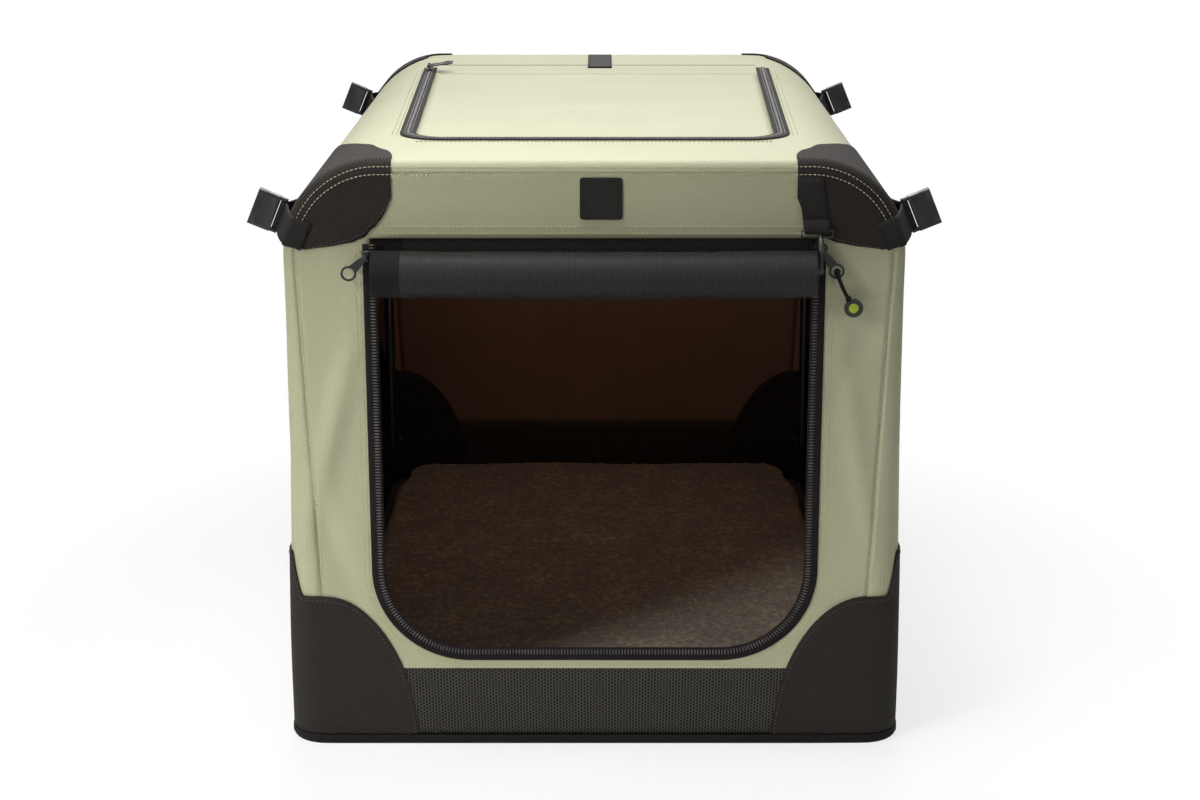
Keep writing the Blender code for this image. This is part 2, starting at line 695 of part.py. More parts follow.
def make_front_zip():
    y = -DEPTH / 2 - GAP
    outer = door_outline(0.0, y)
    inner = door_outline(ZIP_TAPE_WIDTH, y)
    for line in (outer, inner):
        for point in (line[0], line[-1]):
            point.z = DOOR_TOP - FRONT_ZIP_TOP_DROP
    add_object("front_zip", prism(outer + inner[::-1], -BACK * ZIP_TAPE_THICKNESS), "zip_coil")


def roll_centre():
    """Centre of the roll, so that its outer turn runs up behind the front wall."""
    return (-DEPTH / 2 + FABRIC + GAP + ROLL_PLY - ROLL_RADIUS, DOOR_TOP - ROLL_DROP)


def make_door_roll():
    """Wound door panel: a spiral of thick mesh whose last turn rises behind the wall."""
    centre_y, centre_z = roll_centre()
    count = round(ROLL_TURNS * ROLL_POINTS_PER_TURN)
    middle = []
    for i in range(count + 1):
        share = i / count
        radius = ROLL_CORE_RADIUS + (ROLL_RADIUS - ROLL_PLY / 2 - ROLL_CORE_RADIUS) * share
        angle = 2 * math.pi * ROLL_TURNS * (share - 1)
        middle.append(Vector((centre_y + radius * math.cos(angle), centre_z + radius * math.sin(angle))))
    pitch = (ROLL_RADIUS - ROLL_PLY / 2 - ROLL_CORE_RADIUS) / ROLL_TURNS
    least = min((middle[i] - middle[j]).length for i in range(len(middle))
                for j in range(i + ROLL_POINTS_PER_TURN // 2, len(middle)))
    print("door_roll: pitch", round(pitch, 5), "least gap between turns", round(least - ROLL_PLY, 5))
    middle.append(Vector((middle[-1].x, DOOR_TOP + ROLL_SEAM_RISE)))
    outer, inner = [], []
    for i, point in enumerate(middle):
        along = (middle[min(i + 1, len(middle) - 1)] - middle[max(i - 1, 0)]).normalized()
        if i >= count:
            along = Vector((0.0, 1.0))
        across = Vector((along.y, -along.x)) * ROLL_PLY / 2
        outer.append(point + across)
        inner.append(point - across)
    half = DOOR_HALF_WIDTH - ZIP_TAPE_WIDTH - ROLL_END_CLEARANCE
    profile = [Vector((-half, y, z)) for y, z in outer + inner[::-1]]
    add_object("door_roll", prism(profile, RIGHT * 2 * half), "charcoal_mesh")


# Zip sliders with their pulls

def make_slider(name, pull_name, centre, along, normal, pull_way):
    """Slider body with a bail; the pull turns on the bail."""
    along, normal, pull_way = (Vector(v).normalized() for v in (along, normal, pull_way))
    across = along.cross(normal)
    base = Vector(centre)
    body_centre = base + normal * SLIDER_HEIGHT / 2
    slider = add_object(name, box(body_centre, (across, along, normal),
                                  (SLIDER_WIDTH, SLIDER_LENGTH, SLIDER_HEIGHT)), "moulded_acetal", base)
    bar_way = pull_way.cross(normal)
    bar_centre = base + normal * (SLIDER_HEIGHT + BAIL_RISE)
    for sign in (-1, 1):
        foot = base + bar_way * sign * BAIL_HALF_SPAN + normal * SLIDER_HEIGHT / 2
        post = box(foot + normal * (SLIDER_HEIGHT / 2 + BAIL_RISE) / 2, (bar_way, pull_way, normal),
                   (2 * BAIL_RADIUS, 3 * BAIL_RADIUS, SLIDER_HEIGHT / 2 + BAIL_RISE + 2 * BAIL_RADIUS))
        cut(slider, post, "UNION")
    reach = bar_way * BAIL_HALF_SPAN
    cut(slider, rod(bar_centre - reach, bar_centre + reach, BAIL_RADIUS), "UNION")
    bore = BAIL_RADIUS + PULL_BORE_PLAY
    knuckle_radius = bore + PULL_KNUCKLE_WALL
    half = bar_way * PULL_KNUCKLE_HALF
    pull = add_object(pull_name, rod(bar_centre - half, bar_centre + half, knuckle_radius),
                      "moulded_acetal", bar_centre)
    plate_length = PULL_LENGTH - bore - PULL_NECK
    plate_middle = bar_centre + pull_way * (bore + PULL_NECK / 2 + plate_length / 2 + PULL_NECK / 2)
    neck_middle = bar_centre + pull_way * (bore + PULL_NECK)
    cut(pull, box(neck_middle, (bar_way, pull_way, normal),
                  (2 * PULL_KNUCKLE_HALF, 2 * PULL_NECK, PULL_THICKNESS)), "UNION")
    cut(pull, box(plate_middle, (bar_way, pull_way, normal),
                  (PULL_WIDTH, plate_length - PULL_NECK, PULL_THICKNESS)), "UNION")
    cut(pull, rod(bar_centre - 2 * half, bar_centre + 2 * half, bore))
    hole = pull_hole(bar_centre, pull_way)
    cut(pull, rod(hole - normal * OVERRUN, hole + normal * OVERRUN, PULL_HOLE_RADIUS))
    return bar_centre


def pull_hole(bar_centre, pull_way):
    return bar_centre + pull_way * (PULL_LENGTH - PULL_WIDTH / 2 - PULL_THICKNESS)


def front_slider_place(side, z):
    x = DOOR_HALF_WIDTH - ZIP_TAPE_WIDTH / 2 + FRONT_SLIDER_OUT
    return Vector((side * x, -DEPTH / 2 - 2 * GAP - ZIP_TAPE_THICKNESS, z))


def make_front_sliders():
    front = -BACK
    for side, hand, z, angle in ((-1, "left", FRONT_SLIDER_LEFT_Z, LEFT_PULL_ANGLE),
                                 (1, "right", FRONT_SLIDER_RIGHT_Z, RIGHT_PULL_ANGLE)):
        way = Vector((side * math.sin(angle), 0.0, -math.cos(angle)))
        place = front_slider_place(side, z)
        bar = make_slider("front_slider_" + hand, "front_pull_" + hand, place, -UP, front, way)
        print("front pull", hand, [round(c, 5) for c in bar])
    knot = pull_hole(bar, way) + front * (PULL_THICKNESS / 2 + CORD_RADIUS + GAP)
    path = [knot + Vector(step) for step in TAG_CORD]
    add_object("pull_cord", sweep(path, circle(CORD_RADIUS, 2 * EDGE_STEPS), front), "zip_coil")
    drop = Vector((math.sin(TAG_LEAN), 0.0, -math.cos(TAG_LEAN)))
    centre = path[-1] + drop * (TAG_RADIUS + GAP)
    half = front * TAG_THICKNESS / 2
    add_object("pull_tag", rod(centre - half, centre + half, TAG_RADIUS, 2 * TUBE_SIDES), "green_rubber")


def tape_point(y):
    """Middle of the left leg of the roof zip tape, on the first facet of the shoulder."""
    half = hatch_half(y) + HATCH_GAP + ROOF_TAPE_WIDTH / 2
    flat = WIDTH / 2 - SHOULDER_RADIUS
    slope = math.tan(math.pi / 4 / ARC_STEPS)
    return Vector((-half, y, HEIGHT - (half - flat) * slope))


def make_roof_sliders():
    slope = math.pi / 4 / ARC_STEPS
    normal = Vector((-math.sin(slope), 0.0, math.cos(slope)))
    lift = normal * (2 * GAP + ROOF_TAPE_THICKNESS)
    along = (tape_point(ROOF_SLIDER_FRONT_Y - HATCH_REAR_Y) - tape_point(ROOF_SLIDER_FRONT_Y)).normalized()
    print("roof slider axis", [round(c, 6) for c in along])
    for label, y in (("front", ROOF_SLIDER_FRONT_Y), ("rear", ROOF_SLIDER_FRONT_Y + ROOF_SLIDER_PITCH)):
        sideways = along.cross(normal)
        if sideways.x < 0:
            sideways = -sideways
        bar = make_slider("roof_slider_" + label, "roof_pull_" + label, tape_point(y) + lift, along, normal,
                          sideways)
        print("roof pull", label, [round(c, 5) for c in bar])


# Door strap, hook and label

def strap_front():
    """Front face of the cover where the strap hangs over the patch."""
    return -DEPTH / 2 - GAP - PATCH - GAP


def make_door_strap():
    """Webbing from the roof seam that turns round the hook's bar and comes back up."""
    back = strap_front() - WEBBING / 2
    loop_radius = HOOK_WIRE + HOOK_LOOP_PLAY + WEBBING / 2
    bar_y = back - loop_radius
    top = HEIGHT - STRAP_TOP_DROP - TOP_EDGE_RADIUS
    middle = [(back, top)]
    middle += arc((bar_y, STRAP_BAR_Z), loop_radius, 0.0, -math.pi, CORNER_STEPS)
    middle.append((bar_y - loop_radius + WEBBING / 2, STRAP_BAR_Z + STRAP_RETURN))
    path = [Vector((STRAP_X, y, z)) for y, z in middle]
    half = STRAP_WIDTH / 2
    section = [(-WEBBING / 2, -half), (WEBBING / 2, -half), (WEBBING / 2, half), (-WEBBING / 2, half)]
    add_object("door_strap", sweep(path, section, RIGHT), "black_webbing")
    make_hook(Vector((STRAP_X, bar_y, STRAP_BAR_Z)))
    label = (LABEL_X, -DEPTH / 2 - GAP - LABEL_THICKNESS / 2, LABEL_Z)
    add_object("label_patch", box(label, (RIGHT, BACK, UP), (LABEL_SIZE, LABEL_THICKNESS, LABEL_SIZE)),
               "black_webbing")
    print("strap hook bar", round(bar_y, 5), STRAP_BAR_Z)


def make_hook(bar):
    """Plastic hook on a wire ring that hangs in the strap's fold."""
    half = STRAP_WIDTH / 2 + 2 * HOOK_WIRE + GAP
    reach = RIGHT * half
    low = bar - UP * HOOK_RING_DROP
    hook = add_object("strap_hook", rod(bar - reach - RIGHT * HOOK_WIRE, bar + reach + RIGHT * HOOK_WIRE,
                                        HOOK_WIRE), "moulded_acetal", bar)
    for side in (-1, 1):
        cut(hook, rod(bar + side * reach + UP * HOOK_WIRE / 2, low + side * reach - UP * HOOK_WIRE / 2,
                      HOOK_WIRE), "UNION")
    cut(hook, rod(low - reach, low + reach, HOOK_WIRE), "UNION")
    out = Vector((HOOK_X, bar.y - HOOK_OUT, low.z - HOOK_OUT))
    bottom = Vector((HOOK_X, out.y, HOOK_BOTTOM_Z))
    shank = [Vector((HOOK_X, bar.y, low.z)), out, bottom]
    for start, end in zip(shank, shank[1:]):
        cut(hook, rod(start, end, HOOK_SHANK_RADIUS, CORNER_STEPS), "UNION")
    curl = bottom - BACK * HOOK_CURL
    cut(hook, rod(bottom - UP * HOOK_SHANK_RADIUS / 2, curl - UP * HOOK_SHANK_RADIUS / 2,
                  HOOK_SHANK_RADIUS, CORNER_STEPS), "UNION")


# Corner straps with their buckles

def loop_frame(side):
    """Centre of the loop's frame, the way out through a facet of the shoulder and the way up along it."""
    angle = LOOP_FACET_SHARE * math.pi / 2 / ARC_STEPS
    centre = Vector((side * (WIDTH / 2 - SHOULDER_RADIUS), 0.0, HEIGHT - SHOULDER_RADIUS))
    out = Vector((side * math.cos(angle), 0.0, math.sin(angle)))
    rise = Vector((-side * math.sin(angle), 0.0, math.cos(angle)))
    return centre - rise * LOOP_SLIDE, out, rise


def make_corner_loop(side, end, name):
    """Webbing that leaves the patch in two plies and turns round the buckle's bar."""
    centre, out, rise = loop_frame(side)
    face = (SHOULDER_RADIUS + GAP + PATCH) * math.cos(math.pi / 4 / ARC_STEPS)
    seat = face + GAP + WEBBING / 2
    bar = seat + LOOP_REACH
    turn_radius = BAR_RADIUS + BAR_PLAY + WEBBING / 2
    near = LOOP_Y - LOOP_HALF_SPREAD
    far = LOOP_Y + LOOP_HALF_SPREAD
    half_turn = [(bar + r, LOOP_Y + y) for r, y in
                 arc((0.0, 0.0), turn_radius, -LOOP_WRAP, LOOP_WRAP, CORNER_STEPS)]
    middle = [(seat, near - LOOP_SEAT), (seat, near)] + half_turn + [(seat, far), (seat, far + LOOP_SEAT)]
    path = [centre + out * r + BACK * end * y for r, y in middle]
    half = LOOP_WIDTH / 2
    section = [(-WEBBING / 2, -half), (WEBBING / 2, -half), (WEBBING / 2, half), (-WEBBING / 2, half)]
    add_object("corner_strap_" + name, sweep(path, section, rise), "black_webbing")
    bar_centre = centre + out * bar + BACK * end * LOOP_Y
    print("buckle", name, "bar", [round(c, 5) for c in bar_centre], "axis", [round(c, 6) for c in rise])
    make_buckle(name, bar_centre, out, rise, turn_radius)


def make_buckle(name, bar, out, rise, turn_radius):
    """Socket half of a side-release buckle: open housing, two lugs and the bar between them."""
    start = turn_radius + WEBBING / 2 + BUCKLE_BODY_CLEARANCE
    middle = bar + out * (start + BUCKLE_LENGTH / 2)
    buckle = add_object("buckle_" + name, box(middle, (out, BACK, rise),
                                              (BUCKLE_LENGTH, BUCKLE_THICKNESS, BUCKLE_HEIGHT)),
                        "moulded_acetal", bar)
    lug = (BUCKLE_HEIGHT - LOOP_WIDTH) / 2 - 2 * GAP
    lug_half = BAR_RADIUS + GAP
    reach = start + BUCKLE_WALL / 2 + lug_half
    for sign in (-1, 1):
        arm = bar + out * (reach / 2 - lug_half) + rise * sign * (BUCKLE_HEIGHT / 2 - lug / 2 - GAP)
        cut(buckle, box(arm, (out, BACK, rise), (reach, 2 * lug_half, lug)), "UNION")
    half_bar = rise * (BUCKLE_HEIGHT / 2 - lug / 2)
    cut(buckle, rod(bar - half_bar, bar + half_bar, BAR_RADIUS), "UNION")
    mouth = middle + out * BUCKLE_WALL
    cut(buckle, box(mouth, (out, BACK, rise),
                    (BUCKLE_LENGTH, BUCKLE_THICKNESS - 2 * BUCKLE_WALL, BUCKLE_HEIGHT - 2 * BUCKLE_WALL)))


def make_corner_loops():
    for end, place in ((-1, "front"), (1, "rear")):
        for side, hand in ((-1, "left"), (1, "right")):
            make_corner_loop(side, end, "{}_{}".format(place, hand))


def main():
    clear_scene()
    make_bottom()
    make_base_frame()
    make_frames()
    make_cover()
    make_roof()
    make_patches()
    make_front_zip()
    make_door_roll()
    make_front_sliders()
    make_roof_sliders()
    make_door_strap()
    make_corner_loops()


main()
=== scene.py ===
import math

import bmesh
import bpy
from mathutils import Matrix, Vector, noise


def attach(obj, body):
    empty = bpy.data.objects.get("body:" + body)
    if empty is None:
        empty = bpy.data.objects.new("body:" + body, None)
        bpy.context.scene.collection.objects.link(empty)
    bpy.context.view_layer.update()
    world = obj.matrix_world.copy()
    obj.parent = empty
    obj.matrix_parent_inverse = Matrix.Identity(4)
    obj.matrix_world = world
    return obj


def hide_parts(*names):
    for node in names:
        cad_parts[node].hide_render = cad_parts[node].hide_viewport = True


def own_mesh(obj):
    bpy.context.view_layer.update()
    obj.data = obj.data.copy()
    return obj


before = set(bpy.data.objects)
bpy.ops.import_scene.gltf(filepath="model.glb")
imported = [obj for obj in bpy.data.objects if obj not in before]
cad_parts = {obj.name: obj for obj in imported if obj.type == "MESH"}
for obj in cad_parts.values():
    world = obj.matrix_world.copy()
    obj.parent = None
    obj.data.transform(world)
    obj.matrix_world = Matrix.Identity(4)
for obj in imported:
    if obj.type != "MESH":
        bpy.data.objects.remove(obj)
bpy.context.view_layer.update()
scene = bpy.context.scene
up, right, back = Vector((0, 0, 1)), Vector((1, 0, 0)), Vector((0, 1, 0))
outward = -back         # off the front of the crate
ends = ((-1, "front"), (1, "rear"))
sides = ((-1, "left"), (1, "right"))
print("frame loaded:", len(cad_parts), "nodes")


# Camera, fitted to the seams of the cover and the ends of the roof

camera = {
    "place": (0.0088, -2.300, 0.9215),
    "tilt": 14.75,          # degrees below level
    "focal": 61.6,          # mm on a 36 mm sensor
    "shiftX": -0.003,
    "shiftY": -0.055,
}
lens = bpy.data.cameras.new("camera")
lens.sensor_width = 36
lens.lens = camera["focal"]
lens.shift_x, lens.shift_y = camera["shiftX"], camera["shiftY"]
cameraObject = bpy.data.objects.new("camera", lens)
cameraObject.location = camera["place"]
cameraObject.rotation_euler = (math.radians(90 - camera["tilt"]), 0, 0)
scene.collection.objects.link(cameraObject)
scene.camera = cameraObject
scene.view_settings.view_transform = "Standard"


# Materials

def linear(text):
    # the scene's colour for a "#RRGGBB" value
    parts = [int(text[i:i + 2], 16) / 255 for i in (1, 3, 5)]
    return (*[c / 12.92 if c <= 0.04045 else ((c + 0.055) / 1.055) ** 2.4 for c in parts], 1)


def setInputs(node, inputs):
    # plain values are set, sockets are linked
    for name, value in inputs.items():
        if isinstance(value, bpy.types.NodeSocket):
            node.id_data.links.new(value, node.inputs[name])
        else:
            node.inputs[name].default_value = value
    return node


def addNode(tree, kind, inputs=None, stops=(), **settings):
    # stops are the places and colours of a ramp
    node = tree.nodes.new(kind)
    for name, value in settings.items():
        setattr(node, name, value)
    if stops:
        ramp = node.color_ramp
        for element, (place, text) in zip(ramp.elements, (stops[0], stops[-1])):
            element.position, element.color = place, linear(text)
        for place, text in stops[1:-1]:
            ramp.elements.new(place).color = linear(text)
    return setInputs(node, inputs or {})


def newMaterial(name, **inputs):
    made = bpy.data.materials.new(name)
    made.use_nodes = True
    shader = made.node_tree.nodes["Principled BSDF"]
    return made, made.node_tree, setInputs(shader, {key.replace("_", " "): value for key, value in inputs.items()})


def clothMaterial(name, shade, base, light, thread, roughness, depth, turned=0, sheen=0.0, mottle=0.25, slub=0.5,
                  gloss=0.3):
    # thread is the width of one, depth the height of the weave, both in metres; turned is in degrees
    made, tree, shader = newMaterial(name, Roughness=roughness, Sheen_Weight=sheen, Sheen_Roughness=0.5,
                                     Specular_IOR_Level=gloss)
    flat = addNode(tree, "ShaderNodeUVMap", uv_map="UVMap").outputs["UV"]
    solid = addNode(tree, "ShaderNodeTexCoord").outputs["Object"]
    laid = addNode(tree, "ShaderNodeMapping", {"Vector": flat, "Rotation": (0, 0, math.radians(turned))}).outputs[0]
    wave = {"Vector": laid, "Scale": math.pi / 10 / thread, "Distortion": slub, "Detail": 1.0, "Detail Scale": 2.0}
    warp, weft = [addNode(tree, "ShaderNodeTexWave", wave, bands_direction=way).outputs["Fac"] for way in "XY"]
    weave = addNode(tree, "ShaderNodeMath", {0: warp, 1: weft}, operation="MULTIPLY").outputs[0]
    cloud = addNode(tree, "ShaderNodeTexNoise", {"Vector": solid, "Scale": 9.0, "Detail": 4.0}).outputs["Fac"]
    fine = addNode(tree, "ShaderNodeTexNoise", {"Vector": solid, "Scale": 420.0, "Detail": 2.0}).outputs["Fac"]
    stops = [(0.0, shade), (0.35, base), (1.0, light)]
    colour = addNode(tree, "ShaderNodeValToRGB", {"Fac": weave}, stops).outputs[0]
    for amount, pattern in ((mottle, cloud), (0.18, fine)):
        colour = addNode(tree, "ShaderNodeMix", {0: amount, 6: colour, 7: pattern}, data_type="RGBA",
                         blend_type="SOFT_LIGHT").outputs[2]
    height = addNode(tree, "ShaderNodeMath", {0: fine, 1: 0.35, 2: weave}, operation="MULTIPLY_ADD").outputs[0]
    bump = addNode(tree, "ShaderNodeBump", {"Height": height, "Strength": 0.55, "Distance": depth}).outputs[0]
    setInputs(shader, {"Base Color": colour, "Normal": bump})
    return made


def plasticMaterial(name, base, light, roughness, grain, depth, coat=0.0):
    made, tree, shader = newMaterial(name, Roughness=roughness, Coat_Weight=coat)
    solid = addNode(tree, "ShaderNodeTexCoord").outputs["Object"]
    rub = addNode(tree, "ShaderNodeTexNoise", {"Vector": solid, "Scale": 38.0, "Detail": 5.0}).outputs["Fac"]
    skin = addNode(tree, "ShaderNodeTexNoise", {"Vector": solid, "Scale": grain, "Detail": 2.0}).outputs["Fac"]
    colour = addNode(tree, "ShaderNodeValToRGB", {"Fac": rub}, [(0.35, base), (0.75, light)]).outputs[0]
    rough = addNode(tree, "ShaderNodeMapRange", {"Value": rub, "To Min": roughness - 0.06, "To Max": roughness + 0.1})
    bump = addNode(tree, "ShaderNodeBump", {"Height": skin, "Strength": 0.35, "Distance": depth}).outputs[0]
    setInputs(shader, {"Base Color": colour, "Roughness": rough.outputs[0], "Normal": bump})
    return made


# Coated polyester canvas, 600 denier: matt, a fine plain weave; its 0.6 mm threads are drawn at 1.5 mm to show
canvas = clothMaterial("coatedPolyesterCanvas", "#B4B392", "#BBBA99", "#C0BF9F", 0.0015, 0.62, 0.00010, sheen=0.1,
                       mottle=0.18, slub=1.5, gloss=0.5)
# Its dark coated back, which makes the inside of the crate brown-black
lining = clothMaterial("darkCoatedBack", "#78604F", "#856857", "#8F7262", 0.0022, 0.8, 0.0002)
# Polyester twill, woven: dull near-black with fine diagonal ribs
twill = clothMaterial("wovenPolyesterTwill", "#1D1A18", "#332F2C", "#4B4742", 0.0021, 0.88, 0.0003, turned=45,
                      gloss=0.2)
# Nylon webbing, woven: dull black with ribs across; rib spacing 1.6 mm drawn at 2 mm
webbing = clothMaterial("wovenNylonWebbing", "#100E0D", "#201D1C", "#332F2D", 0.0020, 0.75, 0.0006, gloss=0.25)
# Binding tape and zip tape: tighter weave than the webbing
tape = clothMaterial("wovenZipTape", "#100D0E", "#181415", "#221D1E", 0.0014, 0.8, 0.0002, gloss=0.2)
# Polyester sewing thread: cream for the canvas, black for the patches, slightly glossy
thread = newMaterial("creamPolyesterThread", Roughness=0.55, Base_Color=linear("#CFCCAE"))[0]
darkThread = newMaterial("blackPolyesterThread", Roughness=0.55, Base_Color=linear("#3B3534"))[0]
# Nylon coil: dark, half gloss
coil = plasticMaterial("nylonCoil", "#4A4647", "#6A6465", 0.42, 900.0, 0.00005)
# The pale thread woven along both sides of the roof zip
paleLine = plasticMaterial("paleTapeThread", "#8C8D86", "#A6A7A0", 0.5, 900.0, 0.00005)
# Woven label: black with a raised satin border
labelCloth = clothMaterial("wovenDamaskLabel", "#141413", "#1B1B1A", "#262625", 0.0009, 0.6, 0.0001)
# Acetal, injection moulded: black-grey with a low sheen
acetal = plasticMaterial("mouldedAcetal", "#1D1D1E", "#2C2C2D", 0.34, 1400.0, 0.00006, coat=0.1)
# Enamelled steel tube, drawn and sprayed: black, half gloss
enamel = plasticMaterial("enamelledSteelTube", "#191817", "#262423", 0.36, 300.0, 0.00004, coat=0.3)
# Hard fibreboard: flat grey-brown
fibreboard = plasticMaterial("pressedFibreboard", "#4A4540", "#5A544D", 0.85, 220.0, 0.0002)
# Silicone rubber, moulded: soft gloss, leaf green
rubber = plasticMaterial("mouldedSiliconeRubber", "#A3BE2A", "#B4CC3C", 0.5, 700.0, 0.00006)


def netMaterial(name, hole, base, light, dark, roughness, gloss):
    # hole is the pitch of the holes along a row, in metres
    made, tree, shader = newMaterial(name, Roughness=roughness, Specular_IOR_Level=gloss)
    flat = addNode(tree, "ShaderNodeUVMap", uv_map="UVMap").outputs["UV"]
    upright = addNode(tree, "ShaderNodeMapping", {"Vector": flat, "Rotation": (0, 0, math.pi / 2)}).outputs[0]
    black, white = (0, 0, 0, 1), (1, 1, 1, 1)
    net = addNode(tree, "ShaderNodeTexBrick",
                  {"Vector": upright, "Scale": 1.0, "Mortar Size": hole * 0.2, "Mortar Smooth": 0.6,
                   "Brick Width": hole, "Row Height": hole * 0.8, "Color1": black, "Color2": black, "Mortar": white},
                  offset=0.5, offset_frequency=2).outputs["Color"]
    solid = addNode(tree, "ShaderNodeTexCoord").outputs["Object"]
    fluff = addNode(tree, "ShaderNodeTexNoise", {"Vector": solid, "Scale": 500.0, "Detail": 2.0}).outputs["Fac"]
    yarn = addNode(tree, "ShaderNodeMix", {0: fluff, 6: linear(base), 7: linear(light)}, data_type="RGBA").outputs[2]
    colour = addNode(tree, "ShaderNodeMix", {0: net, 6: linear(dark), 7: yarn}, data_type="RGBA").outputs[2]
    bump = addNode(tree, "ShaderNodeBump", {"Height": net, "Strength": 0.9, "Distance": hole * 0.2}).outputs[0]
    setInputs(shader, {"Base Color": colour, "Normal": bump})
    return made


# Knitted polyester spacer mesh: staggered holes of 3 mm in columns, charcoal yarn over a dark backing
spacer = netMaterial("knittedSpacerMesh", 0.0036, "#3F3D38", "#565349", "#181715", 0.85, 0.25)
# Polyester net of the door: near black with a slight gloss; its 2 mm holes are drawn at 3.4 mm to show
doorNet = netMaterial("knittedDoorNet", 0.0034, "#201D1C", "#363231", "#020101", 0.55, 0.3)


def fleeceMaterial():
    # Knitted polyester fleece: deep soft pile with matted tufts of a few millimetres, olive-beige
    made, tree, shader = newMaterial("brushedPolyesterFleece", Roughness=0.95, Sheen_Weight=0.5, Sheen_Roughness=0.7,
                                     Specular_IOR_Level=0.15)
    solid = addNode(tree, "ShaderNodeTexCoord").outputs["Object"]
    tufts = addNode(tree, "ShaderNodeTexNoise", {"Vector": solid, "Scale": 130.0, "Detail": 6.0, "Roughness": 0.7})
    clumps = addNode(tree, "ShaderNodeTexNoise", {"Vector": solid, "Scale": 22.0, "Detail": 3.0})
    pile = addNode(tree, "ShaderNodeMath", {0: clumps.outputs["Fac"], 1: 0.25, 2: tufts.outputs["Fac"]},
                   operation="MULTIPLY_ADD").outputs[0]
    stops = [(0.38, "#2D2318"), (0.63, "#6E5C42"), (0.88, "#D6C294")]
    colour = addNode(tree, "ShaderNodeValToRGB", {"Fac": pile}, stops).outputs[0]
    bump = addNode(tree, "ShaderNodeBump", {"Height": pile, "Strength": 1.0, "Distance": 0.006}).outputs[0]
    setInputs(shader, {"Base Color": colour, "Normal": bump})
    return made


fleece = fleeceMaterial()
print("materials ready")


# Skin of the cover: the same form as the CAD solids, with soft folds on top

cover = {
    "width": 0.590, "depth": 0.820, "height": 0.590,
    "shoulder": 0.092,
    "baseCorner": 0.034, "topEdge": 0.012,   # plan radius of the upright edges, low and high
    "cloth": 0.0018,
    "gap": 0.0003,
    "skirtTop": 0.080,
    "roughness": 0.0010,     # depth of the general unevenness
    "flare": 0.0090,         # how far the sides stand out at the base, where the stiff patches hold them
    "flareTop": (0.02, 0.46),    # heights between which that fades out
    "foldedHeight": 0.19,    # share of the height left when the frames are down
    "grid": 0.0075, "edgeCloth": 0.018,
    "foldsStart": (0.03, 0.16), "foldsEnd": (0.40, 0.475),      # heights between which the folds fade in and out
    "roofFolds": (0.175, -0.265, 0.185), "roofFade": 0.05,      # half width, front and rear of the roof's folds
    "foldReach": 0.03,
    # folds: centre, way along, way across, half length, half width, depth
    "folds": (
        ((-0.252, -0.41, 0.33), (0.25, 0, 1), (1, 0, -0.25), 0.10, 0.011, 0.0055),
        ((-0.262, -0.41, 0.22), (-0.35, 0, 1), (1, 0, 0.35), 0.08, 0.012, -0.0040),
        ((0.255, -0.41, 0.30), (-0.18, 0, 1), (1, 0, 0.18), 0.12, 0.011, 0.0042),
        ((0.249, -0.41, 0.40), (0.5, 0, 1), (1, 0, -0.5), 0.06, 0.010, -0.0030),
        ((-0.295, 0.02, 0.26), (0, 0.7, 1), (0, 1, -0.7), 0.16, 0.030, 0.0045),
        ((-0.295, -0.20, 0.34), (0, -0.5, 1), (0, 1, 0.5), 0.12, 0.024, -0.0030),
        ((-0.295, 0.22, 0.30), (0, -0.6, 1), (0, 1, 0.6), 0.14, 0.026, -0.0035),
        ((0.295, 0.05, 0.27), (0, -0.6, 1), (0, 1, 0.6), 0.16, 0.030, 0.0045),
        ((0.295, -0.18, 0.33), (0, 0.5, 1), (0, 1, -0.5), 0.12, 0.024, -0.0030),
        ((0.295, 0.25, 0.28), (0, 0.5, 1), (0, 1, -0.5), 0.13, 0.024, -0.0028),
        ((-0.08, 0.41, 0.30), (0.6, 0, 1), (1, 0, -0.6), 0.16, 0.030, 0.0040),
        ((0.12, 0.41, 0.33), (-0.5, 0, 1), (1, 0, 0.5), 0.14, 0.026, -0.0030),
        ((0.0, -0.02, 0.59), (1, 0.25, 0), (-0.25, 1, 0), 0.14, 0.045, -0.0026),
        ((0.05, 0.14, 0.59), (1, -0.3, 0), (0.3, 1, 0), 0.12, 0.040, -0.0020),
        ((-0.05, -0.16, 0.59), (1, -0.2, 0), (0.2, 1, 0), 0.12, 0.036, -0.0018),
    ),
}
halfWidth, halfDepth, topZ = cover["width"] / 2, cover["depth"] / 2, cover["height"]
shoulderR = cover["shoulder"]
flatHalf = halfWidth - shoulderR
archRun = shoulderR * math.pi / 2
firstTilt = math.radians(7.5)       # slope of the shoulder's first facet beside the level roof, in the solids
sideTop = topZ - shoulderR
foldList = [(Vector(c), Vector(a).normalized(), Vector(b).normalized(), length, width, depth)
            for c, a, b, length, width, depth in cover["folds"]]


def edgeRadius(z):
    share = min(max(z / sideTop, 0.0), 1.0)
    return cover["baseCorner"] + (cover["topEdge"] - cover["baseCorner"]) * share


def station(side, run):
    # place and way out on the profile, run being the distance from the middle of the roof
    if run <= flatHalf:
        return side * run, topZ, 0.0, 1.0
    if run <= flatHalf + archRun:
        turn = (run - flatHalf) / shoulderR
        return (side * (flatHalf + shoulderR * math.sin(turn)), sideTop + shoulderR * math.cos(turn),
                side * math.sin(turn), math.cos(turn))
    return side * halfWidth, sideTop - (run - flatHalf - archRun), side, 0.0


def runAt(z):
    return flatHalf + archRun + sideTop - z


